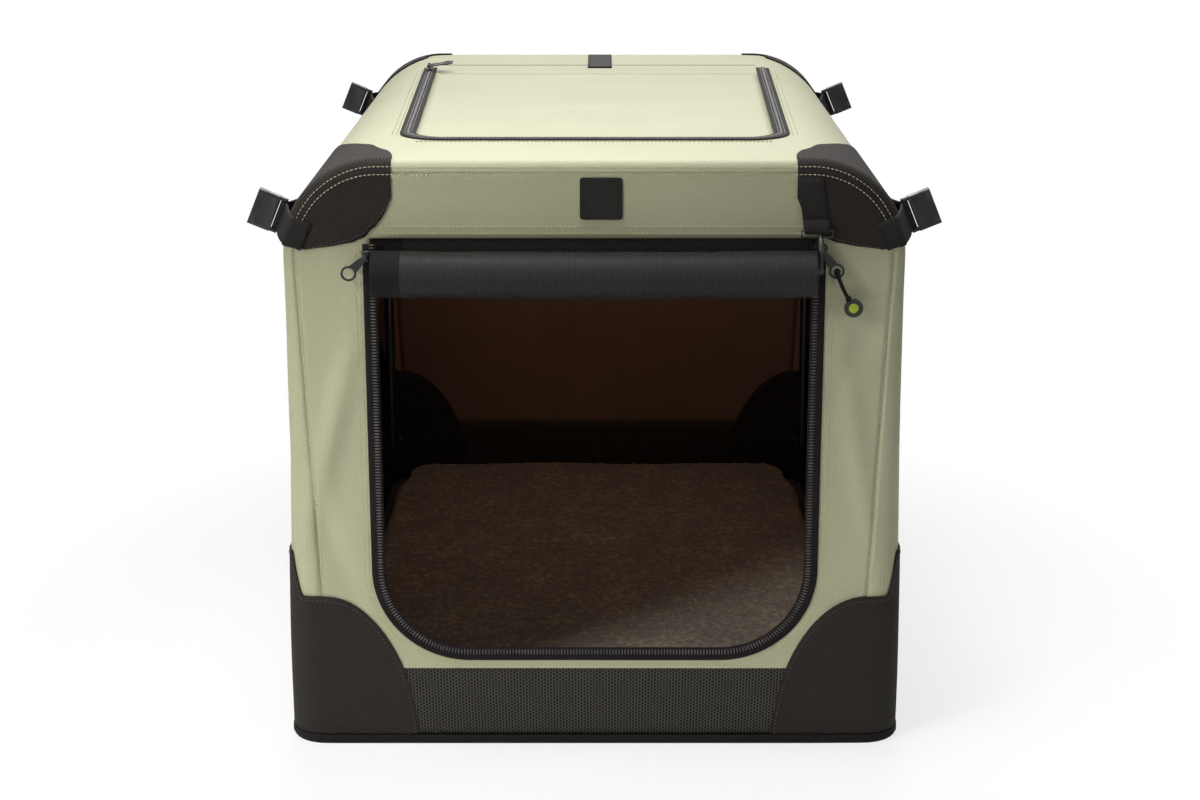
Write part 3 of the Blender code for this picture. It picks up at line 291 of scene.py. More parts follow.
def skinPoint(side, run, end, zone, value):
    # zones: side (back from the edge), edge (0 to 1 round the corner), face (in from the edge)
    x, z, nx, nz = station(side, run)
    radius = edgeRadius(z)
    if zone == "side":
        return Vector((x, end * (halfDepth - radius - value), z)), Vector((nx, 0, nz))
    if zone == "edge":
        turn = value * math.pi / 2
        inward = radius * (1 - math.cos(turn))
        place = Vector((x - nx * inward, end * (halfDepth - radius * (1 - math.sin(turn))), z - nz * inward))
        return place, Vector((nx * math.cos(turn), end * math.sin(turn), nz * math.cos(turn)))
    inward = radius + value
    return Vector((x - nx * inward, end * halfDepth, z - nz * inward)), Vector((0, end, 0))


def archPair(side, run, y):
    # a place on the sides or the roof, and the way out there
    x, z, nx, nz = station(side, run)
    return Vector((x, y, z)), Vector((nx, 0, nz))


def facePair(x, z, end=-1):
    # the same on the front or the rear
    return Vector((x, end * halfDepth, z)), Vector((0, end, 0))


def basis(x, y, z, place):
    return Matrix.Translation(place) @ Matrix((x, y, z)).transposed().to_4x4()


def laidAlong(way, normal, place):
    # x along the way as far as the surface allows, z off the surface
    along = (way - normal * way.dot(normal)).normalized()
    return basis(along, normal.cross(along), normal, place)


def smooth(value, low, high):
    share = min(max((value - low) / (high - low), 0.0), 1.0)
    return share * share * (3 - 2 * share)


def drape(place, normal):
    # distance that the cloth stands off its even form, nothing where hardware is sewn on
    total = 0.0
    for centre, along, across, length, width, depth in foldList:
        off = place - centre
        a, b = off.dot(along) / length, off.dot(across) / width
        flat = off.dot(along.cross(across)) / cover["foldReach"]
        total += depth * math.exp(-a * a - b * b - flat * flat)
    total += cover["roughness"] * noise.noise(place * 7.0)
    if normal.z > 0.5:
        (half, front, rear), fade = cover["roofFolds"], cover["roofFade"]
        return (total * smooth(rear - place.y, 0.0, fade) * smooth(place.y - front, 0.0, fade)
                * smooth(half - abs(place.x), 0.0, fade))
    upright = smooth(place.z, *cover["foldsStart"]) * (1 - smooth(place.z, *cover["foldsEnd"]))
    sideways = max(abs(normal.x) - 0.2, 0.0) * 1.25
    return total * upright + cover["flare"] * sideways * (1 - smooth(place.z, *cover["flareTop"]))


def onSkin(pair, lift=0.0):
    place, normal = pair
    return place + normal * (lift + drape(place, normal))


def lifted(pair, lift=0.0):
    return onSkin(pair, lift), pair[1]


# Lines: even divisions, arcs and walks along them

def fractions(count, first=0):
    return [i / count for i in range(first, count + 1)]


def spread(places, step):
    # values between fixed places, about one step apart
    values = []
    for low, high in zip(places, places[1:]):
        count = max(1, round((high - low) / step))
        values += [low + (high - low) * i / count for i in range(count)]
    return values + [places[-1]]


def pick(values, share):
    return values[round(share * (len(values) - 1))]


def arcLine(x, y, radius, start, turn, count):
    # flat points on an arc round x, y, the angles in radians
    return [Vector((x + radius * math.cos(start + turn * t), y + radius * math.sin(start + turn * t)))
            for t in fractions(count)]


def roundedOutline(halfX, halfY, radius, count=6):
    points = []
    for quarter, (sx, sy) in enumerate(((1, 1), (-1, 1), (-1, -1), (1, -1))):
        points += arcLine(sx * (halfX - radius), sy * (halfY - radius), radius, quarter * math.pi / 2, math.pi / 2,
                          count)
    return points


def disc(radius, count=32, x=0.0):
    return arcLine(x, 0.0, radius, 0.0, 2 * math.pi, count)[:-1]


def mirrored(points):
    # a line that ends at x = 0, with its mirror image
    return points + [Vector((-p.x, p.y)) for p in reversed(points[:-1])]


def runsAlong(line):
    # distance from the start at each point of a line
    runs = [0.0]
    for a, b in zip(line, line[1:]):
        runs.append(runs[-1] + (b - a).length)
    return runs


def walk(line, pitch):
    # span and share of it for places at an even pitch along a line
    carried = 0.0
    for span, (a, b) in enumerate(zip(line, line[1:])):
        step = (b - a).length
        if step < 1e-7:
            continue
        while carried < step:
            yield span, carried / step
            carried += pitch
        carried -= step


def catmullRom(a, b, c, d, t):
    return 0.5 * ((2 * b) + (c - a) * t + (2 * a - 5 * b + 4 * c - d) * t * t + (3 * b - a - 3 * c + d) * t ** 3)


def curveThrough(values, share):
    # a smooth line through evenly numbered values
    spot = min(max(share, 0.0), 1.0) * (len(values) - 1)
    i = min(int(spot), len(values) - 2)
    a, b, c, d = (values[min(max(k, 0), len(values) - 1)] for k in (i - 1, i, i + 1, i + 2))
    return catmullRom(a, b, c, d, spot - i)


def smoothPath(points, steps=6):
    # a smooth line through a few points
    made = []
    padded = [points[0], *points, points[-1]]
    for a, b, c, d in zip(padded, padded[1:], padded[2:], padded[3:]):
        made += [catmullRom(a, b, c, d, i / steps) for i in range(steps)]
    return made + [points[-1].copy()]


def roundCorner(x, y, halfX, halfY, radius):
    # a place of a square sheet moved onto one with round corners, and its distance from the rim there
    dx, dy = abs(x) - (halfX - radius), abs(y) - (halfY - radius)
    if dx <= 0 or dy <= 0:
        return x, y, min(halfX - abs(x), halfY - abs(y))
    reach = max(dx, dy) / math.hypot(dx, dy)
    return (math.copysign(halfX - radius + dx * reach, x), math.copysign(halfY - radius + dy * reach, y),
            radius - max(dx, dy))


# Making pieces

def pieceName(node):
    # the piece that stands for a node, such as doorRoll for door_roll
    first, *rest = node.split("_")
    return first + "".join(word.title() for word in rest)


def addPiece(name, shape, finishes, smoothFaces=True):
    mesh = bpy.data.meshes.new(name)
    shape.to_mesh(mesh)
    shape.free()
    made = bpy.data.objects.new(name, mesh)
    scene.collection.objects.link(made)
    for finish in finishes:
        mesh.materials.append(finish)
    if smoothFaces:
        mesh.shade_smooth()
    return made


def faceOut(piece, awayFrom=Vector((0, 0, 0.3))):
    # turns a whole sheet round if more of it looks inwards than outwards
    total = sum(p.area * p.normal.dot(p.center - awayFrom) for p in piece.data.polygons)
    if total < 0:
        piece.data.flip_normals()
    return piece


def bevelEdges(shape, edges, width, segments=3, clamp=True):
    bmesh.ops.bevel(shape, geom=edges, offset=width, segments=segments, profile=0.5, affect="EDGES", material=-1,
                    clamp_overlap=clamp)


def addBox(shape, size, place=(0, 0, 0)):
    verts = bmesh.ops.create_cube(shape, size=1.0)["verts"]
    bmesh.ops.scale(shape, verts=verts, vec=size)
    bmesh.ops.translate(shape, verts=verts, vec=place)
    return verts


def clothGrid(columns, rows, placeAt, shape=None):
    # a grid whose points are moved to placeAt(u, v) -> point, (metres along, metres across)
    shape = shape or bmesh.new()
    if not shape.loops.layers.uv:
        shape.loops.layers.uv.new("UVMap")
    layer = shape.loops.layers.uv.active
    made = bmesh.ops.create_grid(shape, x_segments=columns, y_segments=rows, size=0.5)["verts"]
    spots = {}
    for vert in made:
        u, v = vert.co.x + 0.5, vert.co.y + 0.5
        vert.co, spots[vert] = placeAt(u, v)
    for face in {f for vert in made for f in vert.link_faces}:
        for loop in face.loops:
            loop[layer].uv = spots[loop.vert]
    return shape


def thicken(piece, thickness, offset=-1.0, inner=False):
    layer = piece.modifiers.new("thickness", "SOLIDIFY")
    layer.thickness, layer.offset = thickness, offset
    if inner:
        layer.material_offset = 1
    return piece


def onBody(piece, body, nodes=()):
    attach(piece, body)
    if nodes:
        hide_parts(*nodes)
    return piece


def onBase(piece, nodes=(), flatten=True):
    # pieces of the cover stay on the base and sink with the front frame
    onBody(piece, "base", nodes)
    if flatten:
        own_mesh(piece)
    return piece


# Sides and roof: one cloth from the left skirt over the roof to the right skirt

hatch = {
    "frontY": -0.275, "rearY": 0.205,
    "frontHalf": 0.179, "rearHalf": 0.196,
    "corner": 0.030, "gap": 0.0005,
    "gridHalf": 0.1875, "calmHalf": 0.245,
    "tape": 0.016, "tapeEnd": 0.260,
    "snap": 0.004,          # points of the grid this near an edge of the opening are moved onto it
    "aboveShoulder": 0.05, "fromEnds": 0.03,    # where its points are looked for
}


def hatchHalf(y):
    share = (y - hatch["frontY"]) / (hatch["rearY"] - hatch["frontY"])
    return hatch["frontHalf"] + (hatch["rearHalf"] - hatch["frontHalf"]) * min(max(share, -0.2), 1.3)


def hatchRun(u, y):
    half, grid, calm = hatchHalf(y), hatch["gridHalf"], hatch["calmHalf"]
    if abs(u) <= grid:
        return abs(u) * half / grid
    if abs(u) <= calm:
        return half + (abs(u) - grid) * (calm - half) / (calm - grid)
    return abs(u)


def buildBand():
    edgeShares = fractions(5)
    flatEnd = halfDepth - cover["topEdge"]
    middles = spread([-flatEnd, hatch["frontY"], hatch["frontY"] + hatch["corner"], hatch["rearY"], flatEnd],
                     cover["grid"])
    ys = [("edge", -1, s) for s in edgeShares[:0:-1]] + [("side", 1, y) for y in middles]
    ys += [("edge", 1, s) for s in edgeShares[1:]]
    low = runAt(cover["skirtTop"] + cover["gap"])
    half = spread([0.0, hatch["gridHalf"], hatch["calmHalf"], flatHalf + archRun, low], cover["grid"])
    runs = [-r for r in reversed(half)] + half[1:]

    def bandPoint(u, v):
        kind, end, value = pick(ys, v)
        along = pick(runs, u)
        side = -1 if along < 0 else 1
        if kind == "edge":
            run = hatchRun(along, end * flatEnd)
            pair = skinPoint(side, run, end, "edge", value)
            return onSkin(pair), (along, end * (flatEnd + value * cover["edgeCloth"]))
        run = hatchRun(along, value)
        y = value * (halfDepth - edgeRadius(station(side, run)[1])) / flatEnd
        return onSkin(archPair(side, run, y)), (along, value)

    return clothGrid(len(runs) - 1, len(ys) - 1, bandPoint)


def insideHatch(x, y):
    half, radius = hatchHalf(y), hatch["corner"]
    if not (hatch["frontY"] < y < hatch["rearY"]) or abs(x) > half:
        return False
    dx, dy = abs(x) - (half - radius), (hatch["frontY"] + radius) - y
    return not (dx > 0 and dy > 0 and math.hypot(dx, dy) > radius)


def splitHatch(shape, keepInside):
    # cuts the hatch out of the band, or keeps it alone, and draws the points beside the cut onto its outline
    grow = 0.0 if keepInside else hatch["gap"]
    lowest, farthest = sideTop + hatch["aboveShoulder"], halfDepth - hatch["fromEnds"]
    gone = []
    for face in shape.faces:
        middle = face.calc_center_median()
        if (middle.z > lowest and insideHatch(middle.x, middle.y)) != keepInside:
            gone.append(face)
    bmesh.ops.delete(shape, geom=gone, context="FACES")
    radius = hatch["corner"] + grow
    centreX = hatchHalf(hatch["frontY"] + hatch["corner"]) + grow - radius
    centreY = hatch["frontY"] - grow + radius
    for vert in shape.verts:
        if not vert.is_boundary or vert.co.z < lowest or abs(vert.co.y) > farthest:
            continue
        y = vert.co.y
        half = hatchHalf(y) + grow
        dx, dy = abs(vert.co.x) - centreX, centreY - y
        if dx > 0 and dy > 0:
            reach = math.hypot(dx, dy)
            vert.co.x = math.copysign(centreX + dx * radius / reach, vert.co.x)
            vert.co.y = centreY - dy * radius / reach
        elif abs(y - hatch["rearY"]) < hatch["snap"]:
            vert.co.y = hatch["rearY"] + grow
            if not keepInside and abs(abs(vert.co.x) - half) < hatch["snap"]:
                vert.co.x = math.copysign(half, vert.co.x)
        elif abs(y - hatch["frontY"]) < hatch["snap"]:
            vert.co.y = hatch["frontY"] - grow
        else:
            vert.co.x = math.copysign(half, vert.co.x)
    return shape


band = faceOut(addPiece("coverBand", splitHatch(buildBand(), False), [canvas, lining]))
thicken(band, cover["cloth"], inner=True)
onBase(band, ("left_wall", "right_wall", "roof"))
hatchPanel = faceOut(addPiece("hatchPanel", splitHatch(buildBand(), True), [canvas, lining]))
thicken(hatchPanel, cover["cloth"], inner=True)
onBody(hatchPanel, "roof_hatch", ("roof_hatch",))
print("sides, roof and hatch made")


# Front and rear panels

door = {
    "half": 0.2185, "top": 0.517, "bottom": 0.0895, "corner": 0.095,
    "tape": 0.0135, "coilInset": 0.0090, "tapeTop": 0.513,
}


def doorLine(inset, count):
    # the opening from its upper right corner down and round to its upper left one
    half, low = door["half"] - inset, door["bottom"] + inset
    radius = door["corner"] - inset
    bend = radius * math.pi / 2
    drop, across = door["top"] - low - radius, 2 * (half - radius)
    total = 2 * (drop + bend) + across
    points = []
    for i in range(count + 1):
        run = total * i / count
        onLeft = run > total / 2
        run = min(run, total - run)
        if run <= drop:
            x, z = half, door["top"] - run
        elif run <= drop + bend:
            turn = (run - drop) / radius
            x, z = half - radius + radius * math.cos(turn), low + radius - radius * math.sin(turn)
        else:
            x, z = half - radius - (run - drop - bend), low
        points.append(Vector((-x if onLeft else x, z)))
    return points


panelTop, panelLow = topZ - cover["topEdge"], cover["skirtTop"] + cover["gap"]
panelArc = shoulderR - cover["topEdge"]


def panelHalf(z):
    # half width of an end panel at a height
    if z <= sideTop:
        return halfWidth - edgeRadius(z)
    return flatHalf + math.sqrt(max(panelArc ** 2 - (z - sideTop) ** 2, 0.0))


def rearPanel():
    heights = spread([panelLow, 0.16, sideTop], 0.010)[:-1]
    heights += [sideTop + panelArc * math.sin(math.pi / 2 * t) for t in fractions(14)]

    def panelPoint(u, v):
        z = pick(heights, v)
        x = (2 * u - 1) * panelHalf(z)
        return onSkin(facePair(x, z, 1)), (x, z)

    return clothGrid(64, len(heights) - 1, panelPoint)


def sheetBetween(outer, inner, rows, pairAt, uvAt, lift=0.0):
    # cloth between two flat lines that have as many points
    def sheetPoint(u, v):
        i = round(u * (len(outer) - 1))
        spot = outer[i].lerp(inner[i], v)
        return onSkin(pairAt(spot.x, spot.y), lift), uvAt(i, v, spot)

    return clothGrid(len(outer) - 1, rows, sheetPoint)


frontRows = {
    "top": 20, "shoulder": 8, "upright": 32, "bend": 16, "sill": 14, "deep": 12,
    "flatShare": 0.7,       # share of the top rows that start on the level part of the roof seam
    "shoulderDrop": 0.019,  # length of the opening's upright edge that faces the shoulder
    "bendUpright": 11,      # rows of the bend that start on the panel's upright edge
    "bendLevel": 0.045,     # length of its lower edge where the other rows of the bend start
}


def frontPanel():
    # a ring of cloth round the opening: pairs of places on the panel's outer edge and on the opening, from the
    # middle of the roof seam to the middle of the sill, and their mirror image
    inset = door["tape"] / 2
    half, low, radius = door["half"] - inset, door["bottom"] + inset, door["corner"] - inset
    bendTop, facing = low + radius, frontRows["shoulderDrop"]
    outer, inner = [], []

    def addPair(start, end):
        outer.append(Vector(start))
        inner.append(Vector(end))

    def onShoulder(turn):
        return flatHalf + panelArc * math.sin(turn), sideTop + panelArc * math.cos(turn)

    for t in fractions(frontRows["top"]):
        past = (t - frontRows["flatShare"]) / (1 - frontRows["flatShare"])
        level = (flatHalf * t / frontRows["flatShare"], panelTop)
        addPair(onShoulder(past * math.pi / 4) if past > 0 else level, (half * t, door["top"]))
    for t in fractions(frontRows["shoulder"], 1):
        addPair(onShoulder(math.pi / 4 * (1 + t)), (half, door["top"] - facing * t))
    for t in fractions(frontRows["upright"], 1):
        z = sideTop + (bendTop - sideTop) * t
        addPair((panelHalf(z), z), (half, door["top"] - facing + (bendTop - door["top"] + facing) * t))
    upright, level = frontRows["bendUpright"], frontRows["bend"] - frontRows["bendUpright"]
    bend = arcLine(half - radius, bendTop, radius, 0.0, -math.pi / 2, frontRows["bend"])
    for i, place in enumerate(bend[1:], 1):
        z = bendTop + (panelLow - bendTop) * min(i / upright, 1.0)
        addPair((panelHalf(z) - max(i - upright, 0) / level * frontRows["bendLevel"], z), place)
    lastOuter, lastInner = outer[-1].x, inner[-1].x
    for t in fractions(frontRows["sill"], 1):
        addPair((lastOuter * (1 - t), panelLow), (lastInner * (1 - t), low))
    shape = sheetBetween(mirrored(outer), mirrored(inner), frontRows["deep"], facePair,
                         lambda i, v, spot: (spot.x, spot.y))
    bmesh.ops.remove_doubles(shape, verts=shape.verts, dist=0.00001)
    return shape


for name, shape, node in (("frontPanel", frontPanel(), "front_wall"), ("rearPanel", rearPanel(), "rear_wall")):
    panel = thicken(faceOut(addPiece(name, shape, [canvas, lining])), cover["cloth"], inner=True)
    onBase(panel, (node,))
print("front and rear panels made")


# Stitches: small spindles of thread laid along a line on the skin

stitch = {
    "pitch": 0.0042, "length": 0.0031, "width": 0.0009, "lift": 0.0003,
    "valanceRows": (0.5215, 0.5280), "valanceEnd": 0.006,   # heights, and the distance from the panel's edge
    "doorRows": (-0.0030, -0.0072),                         # insets from the opening
    "doorTop": 0.512, "sillGap": 0.0015,
    "hatchRows": (0.0195, 0.0240),                          # distances from the hatch
    "hatchStart": 0.02, "hatchFrontHalf": 0.175,
    "edgeRows": {"edge": (0.66, 0.90), "face": (0.0, 0.0012)},  # by zone, its value on the roof and low on the front
    "edgeLow": 0.158, "edgeBlend": 1.6,
}


def repeatShape(name, places, sizes, finish):
    # one small round body made once, then copied to every place
    body = bmesh.new()
    bmesh.ops.create_uvsphere(body, u_segments=6, v_segments=4, radius=0.5,
                              matrix=Matrix.Diagonal((*sizes, 1)) @ Matrix.Rotation(math.pi / 2, 4, "Y"))
    points = [v.co.copy() for v in body.verts]
    sides = [[v.index for v in f.verts] for f in body.faces]
    body.free()
    mesh = bpy.data.meshes.new(name)
    mesh.from_pydata([place @ p for place in places for p in points], [],
                     [[i + k * len(points) for i in side] for k in range(len(places)) for side in sides])
    mesh.materials.append(finish)
    mesh.shade_smooth()
    made = bpy.data.objects.new(name, mesh)
    scene.collection.objects.link(made)
    return made


def stitchLine(places, pairs):
    # pairs are the points of a seam with the way out at each
    for span, share in walk([place for place, _ in pairs], stitch["pitch"]):
        (a, outA), (b, outB) = pairs[span], pairs[span + 1]
        normal = outA.lerp(outB, share).normalized()
        places.append(laidAlong(b - a, normal, a.lerp(b, share) + normal * stitch["lift"]))


patch = {
    "thickness": 0.0015,
    "low": 0.0103,
    "lowerFace": 0.085, "lowerFaceHeight": 0.1465,
    "lowerSide": 0.130, "lowerSideHeight": 0.190,
    "upperFace": 0.056, "upperFront": 0.255, "upperRear": 0.072,
    "upperAngles": (7, 15, 30, 45, 60, 75, 90), "upperRun": 0.013,
    "lowerRise": (0.42, 0.72),      # shares of the corner between which the lower patch rises from front to side
    "seamInset": 0.0045, "seamShare": 0.965, "seamLow": 0.002,
    "upperSeamInset": 0.004, "upperSeamShares": (0.05, 0.97),
    "roofCorner": 0.009, "fade": 0.004,
    # shares of the reach at those angles of the shoulder and at the patch's end on the roof
    "faceShares": (0.20, 0.62, 0.89, 0.97, 1.0, 0.93, 0.82, 0.40),
    "frontShares": (0.60, 0.82, 1.0, 0.88, 0.60, 0.38, 0.25, 0.17),
    "rearShares": (0.85, 0.95, 1.0, 0.95, 0.75, 0.45, 0.20, 0.05),
}
patchRuns = [flatHalf + shoulderR * (math.pi / 2 - math.radians(a)) for a in patch["upperAngles"]]
patchRuns.append(flatHalf - patch["upperRun"])


def seamPairs(end, side, zone):
    # one row of thread from the middle of the roof edge down to the lower patch
    high, low = stitch["edgeRows"][zone]
    fade, roofEnd, sideEnd = patch["fade"], patchRuns[-1], patchRuns[0]
    points = []
    for t in fractions(220):
        run = runAt(stitch["edgeLow"]) * t
        value = high + (low - high) * smooth(run, flatHalf, flatHalf + archRun * stitch["edgeBlend"])
        over = smooth(run, roofEnd - fade, roofEnd) * (1 - smooth(run, sideEnd, sideEnd + fade))
        points.append(lifted(skinPoint(side, run, end, zone, value), over * (patch["thickness"] + cover["gap"])))
    return points


def coverSeams():
    seams = []
    for end, _ in ends:
        for side, _ in sides:
            for zone in stitch["edgeRows"]:
                stitchLine(seams, seamPairs(end, side, zone))
    for z in stitch["valanceRows"]:
        span = panelHalf(z) - stitch["valanceEnd"]
        stitchLine(seams, [lifted(facePair((2 * t - 1) * span, z)) for t in fractions(60)])
    for inset in stitch["doorRows"]:
        line = [p for p in doorLine(inset, 160) if panelLow + stitch["sillGap"] < p.y < stitch["doorTop"]]
        stitchLine(seams, [lifted(facePair(p.x, p.y)) for p in line])
    start = hatch["frontY"] + stitch["hatchStart"]
    ys = [start + (hatch["tapeEnd"] - start) * t for t in fractions(79)]
    for side, _ in sides:
        for away in stitch["hatchRows"]:
            stitchLine(seams, [lifted(archPair(side, hatchHalf(y) + away, y)) for y in ys])
    for away in stitch["hatchRows"]:
        xs = [(2 * t - 1) * stitch["hatchFrontHalf"] for t in fractions(60)]
        stitchLine(seams, [(Vector((x, hatch["frontY"] - away, topZ)), up) for x in xs])
    return seams


stitchSizes = (stitch["length"], stitch["width"], stitch["width"])
onBase(repeatShape("coverSeams", coverSeams(), stitchSizes, thread))
print("seams sewn")


# Dark twill patches over the corners

def lowerPatch(side, end, lift=cover["gap"]):
    low, faceHigh, sideHigh = patch["low"], patch["lowerFaceHeight"], patch["lowerSideHeight"]
    shares = [math.sin(math.pi / 2 * t) for t in fractions(20)]
    quarter = [(share, math.sqrt(max(1 - share * share, 0.0002))) for share in shares]
    # columns of zone, value and height
    columns = [("face", share * patch["lowerFace"], rise * faceHigh) for share, rise in reversed(quarter)]
    columns += [("edge", 1 - t, faceHigh + (sideHigh - faceHigh) * smooth(t, *patch["lowerRise"]))
                for t in fractions(20, 1)[:-1]]
    columns += [("side", share * patch["lowerSide"], rise * sideHigh) for share, rise in quarter]

    def patchPoint(u, v):
        zone, value, rise = pick(columns, u)
        z = low + rise * v
        pair = skinPoint(side, runAt(z), end, zone, value)
        return onSkin(pair, lift), (side * pair[0].x - end * pair[0].y, z)

    rim = []
    for zone, value, rise in columns:
        run = runAt(low + max(rise - patch["seamInset"], patch["seamLow"]))
        pair = skinPoint(side, run, end, zone, value * patch["seamShare"])
        rim.append(lifted(pair, cover["gap"] + patch["thickness"]))
    return clothGrid(len(columns) - 1, 18, patchPoint), rim


def upperPatch(side, end):
    reach = patch["upperFront"] if end < 0 else patch["upperRear"]
    rearShares = patch["frontShares"] if end < 0 else patch["rearShares"]
    rows = 42

    def faceAt(share):
        return patch["upperFace"] * curveThrough(patch["faceShares"], share)

    def columnsAt(share):
        face, rear = faceAt(share), reach * curveThrough(rearShares, share)
        columns = [("side", rear * (1 - t)) for t in fractions(20)[:-1]]
        columns += [("edge", t) for t in fractions(5)]
        return columns + [("face", face * t) for t in fractions(8, 1)]

    def patchPoint(u, v):
        share = round(v * rows) / rows
        zone, value = pick(columnsAt(share), u)
        run = curveThrough(patchRuns, share)
        if zone == "side":      # the corner on the roof is rounded
            run += patch["roofCorner"] * smooth(share, 0.75, 1.0) * (value / (reach * rearShares[-1])) ** 2
        pair = skinPoint(side, run, end, zone, value)
        flat = (-end * pair[0].y, -run) if zone == "side" else (side * pair[0].x, pair[0].z)
        return onSkin(pair, cover["gap"]), flat

    rim = []
    lowest, highest = patch["upperSeamShares"]
    for t in fractions(rows):
        share = min(max(t, lowest), highest)
        value = max(faceAt(share) - patch["upperSeamInset"], 0.001)
        rim.append(lifted(skinPoint(side, curveThrough(patchRuns, share), end, "face", value),
                          cover["gap"] + patch["thickness"]))
    return clothGrid(33, rows, patchPoint), rim


darkSeams = []
for end, place in ends:
    for side, hand in sides:
        for level, build in (("lower", lowerPatch), ("upper", upperPatch)):
            shape, rim = build(side, end)
            node = f"{level}_patch_{place}_{hand}"
            piece = thicken(faceOut(addPiece(pieceName(node), shape, [twill])), patch["thickness"], offset=1.0)
            onBase(piece, (node,))
            stitchLine(darkSeams, rim)
    # dark twill sheets on the inside of the lower corners: painted shade, standing for the shadow that the outer
    # patches cast in the light coming through the cloth
    for side, hand in sides:
        shape, _ = lowerPatch(side, end, -cover["cloth"] - cover["gap"])
        inner = faceOut(addPiece(pieceName(f"inner_patch_{place}_{hand}"), shape, [twill]))
        inner.data.flip_normals()
        onBase(thicken(inner, patch["thickness"], offset=1.0))
onBase(repeatShape("patchSeams", darkSeams, stitchSizes, darkThread))
print("patches made")


# Skirt, binding and bottom sheet

skirt = {
    "low": 0.0103, "high": 0.080, "thickness": 0.0020, "bulge": 0.0012,
    # lengths of the straights and bends from the middle of the rear, the same at all heights
    "division": (0.25, 0.0707, 0.73, 0.0707, 0.50, 0.0707, 0.73, 0.0707, 0.25),
}
binding = {"low": 0.0010, "high": 0.0092, "proud": 0.0030, "roundOff": 0.00096, "thickness": 0.0045}
bottom = {"pastSide": 0.0015, "pastEnd": 0.0025, "low": 0.0002, "wave": 0.0006, "thickness": 0.0018}


def loopPoint(share, z, lift):
    # a place on the outline of the cover at a height, the loop starting behind at the middle
    radius = edgeRadius(z)
    halfX, halfY = halfWidth - radius, halfDepth - radius
    bend = radius * math.pi / 2
    lengths = [halfX, bend, 2 * halfY, bend, 2 * halfX, bend, 2 * halfY, bend, halfX]
    fixed = skirt["division"]
    run = share * sum(fixed)
    index = 0
    while index < 8 and run > fixed[index]:
        run -= fixed[index]
        index += 1
    part = run / fixed[index]
    corners = {1: (halfX, halfY, math.pi / 2), 3: (halfX, -halfY, 0.0),
               5: (-halfX, -halfY, -math.pi / 2), 7: (-halfX, halfY, math.pi)}
    if index in corners:
        cx, cy, start = corners[index]
        turn = start - part * math.pi / 2
        normal = Vector((math.cos(turn), math.sin(turn), 0))
        place = Vector((cx, cy, z)) + normal * radius
    else:
        starts = {0: ((0, halfDepth), (1, 0), (0, 1)), 2: ((halfWidth, halfY), (0, -1), (1, 0)),
                  4: ((halfX, -halfDepth), (-1, 0), (0, -1)), 6: ((-halfWidth, -halfY), (0, 1), (-1, 0)),
                  8: ((-halfX, halfDepth), (1, 0), (0, 1))}
        (sx, sy), (wx, wy), (nx, ny) = starts[index]
        place = Vector((sx + wx * part * lengths[index], sy + wy * part * lengths[index], z))
        normal = Vector((nx, ny, 0))
    return onSkin((place, normal), lift), share * sum(fixed)


def ringPiece(name, low, high, liftAt, rows, finish):
    def ringPoint(u, v):
        z = low + (high - low) * v
        place, run = loopPoint(u, z, liftAt(v))
        return place, (run, z)

    shape = clothGrid(300, rows, ringPoint)
    bmesh.ops.remove_doubles(shape, verts=shape.verts, dist=0.00001)
    return faceOut(addPiece(name, shape, [finish]))


skirtPiece = ringPiece("skirtMesh", skirt["low"], skirt["high"], lambda v: skirt["bulge"] * math.sin(math.pi * v),
                       10, spacer)
onBase(thicken(skirtPiece, skirt["thickness"]), ("skirt_band",))
bindingPiece = ringPiece("baseBinding", binding["low"], binding["high"],
                         lambda v: binding["proud"] - binding["roundOff"] * (2 * v - 1) ** 4, 8, tape)
onBase(thicken(bindingPiece, binding["thickness"]), ("base_binding",), flatten=False)


def bottomPoint(u, v):
    halfX, halfY = halfWidth + cover["flare"] + bottom["pastSide"], halfDepth + bottom["pastEnd"]
    radius = cover["baseCorner"] + bottom["pastEnd"]
    x, y, _ = roundCorner((2 * u - 1) * halfX, (2 * v - 1) * halfY, halfX, halfY, radius)
    wave = bottom["wave"] * noise.noise(Vector((x * 9, y * 9, 0)))
    return Vector((x, y, bottom["low"] + max(wave, 0.0))), (x, y)


bottomPiece = faceOut(addPiece("bottomSheet", clothGrid(60, 80, bottomPoint), [tape]), Vector((0, 0, 5)))
onBase(thicken(bottomPiece, bottom["thickness"]), ("bottom_sheet",), flatten=False)
print("skirt, binding and bottom made")


# Fleece mat on its board

mat = {
    "halfX": 0.253, "halfY": 0.376, "corner": 0.034, "low": 0.0073, "top": 0.0400, "edge": 0.012,
    "pushedOut": 0.0110, "hingeY": 0.33, "hingeBlend": 0.07,    # the sides spread between the hinges
    "crown": 0.0028, "crownWidth": 0.07, "settled": 0.003, "tuft": 0.0022, "wave": 0.002,
}


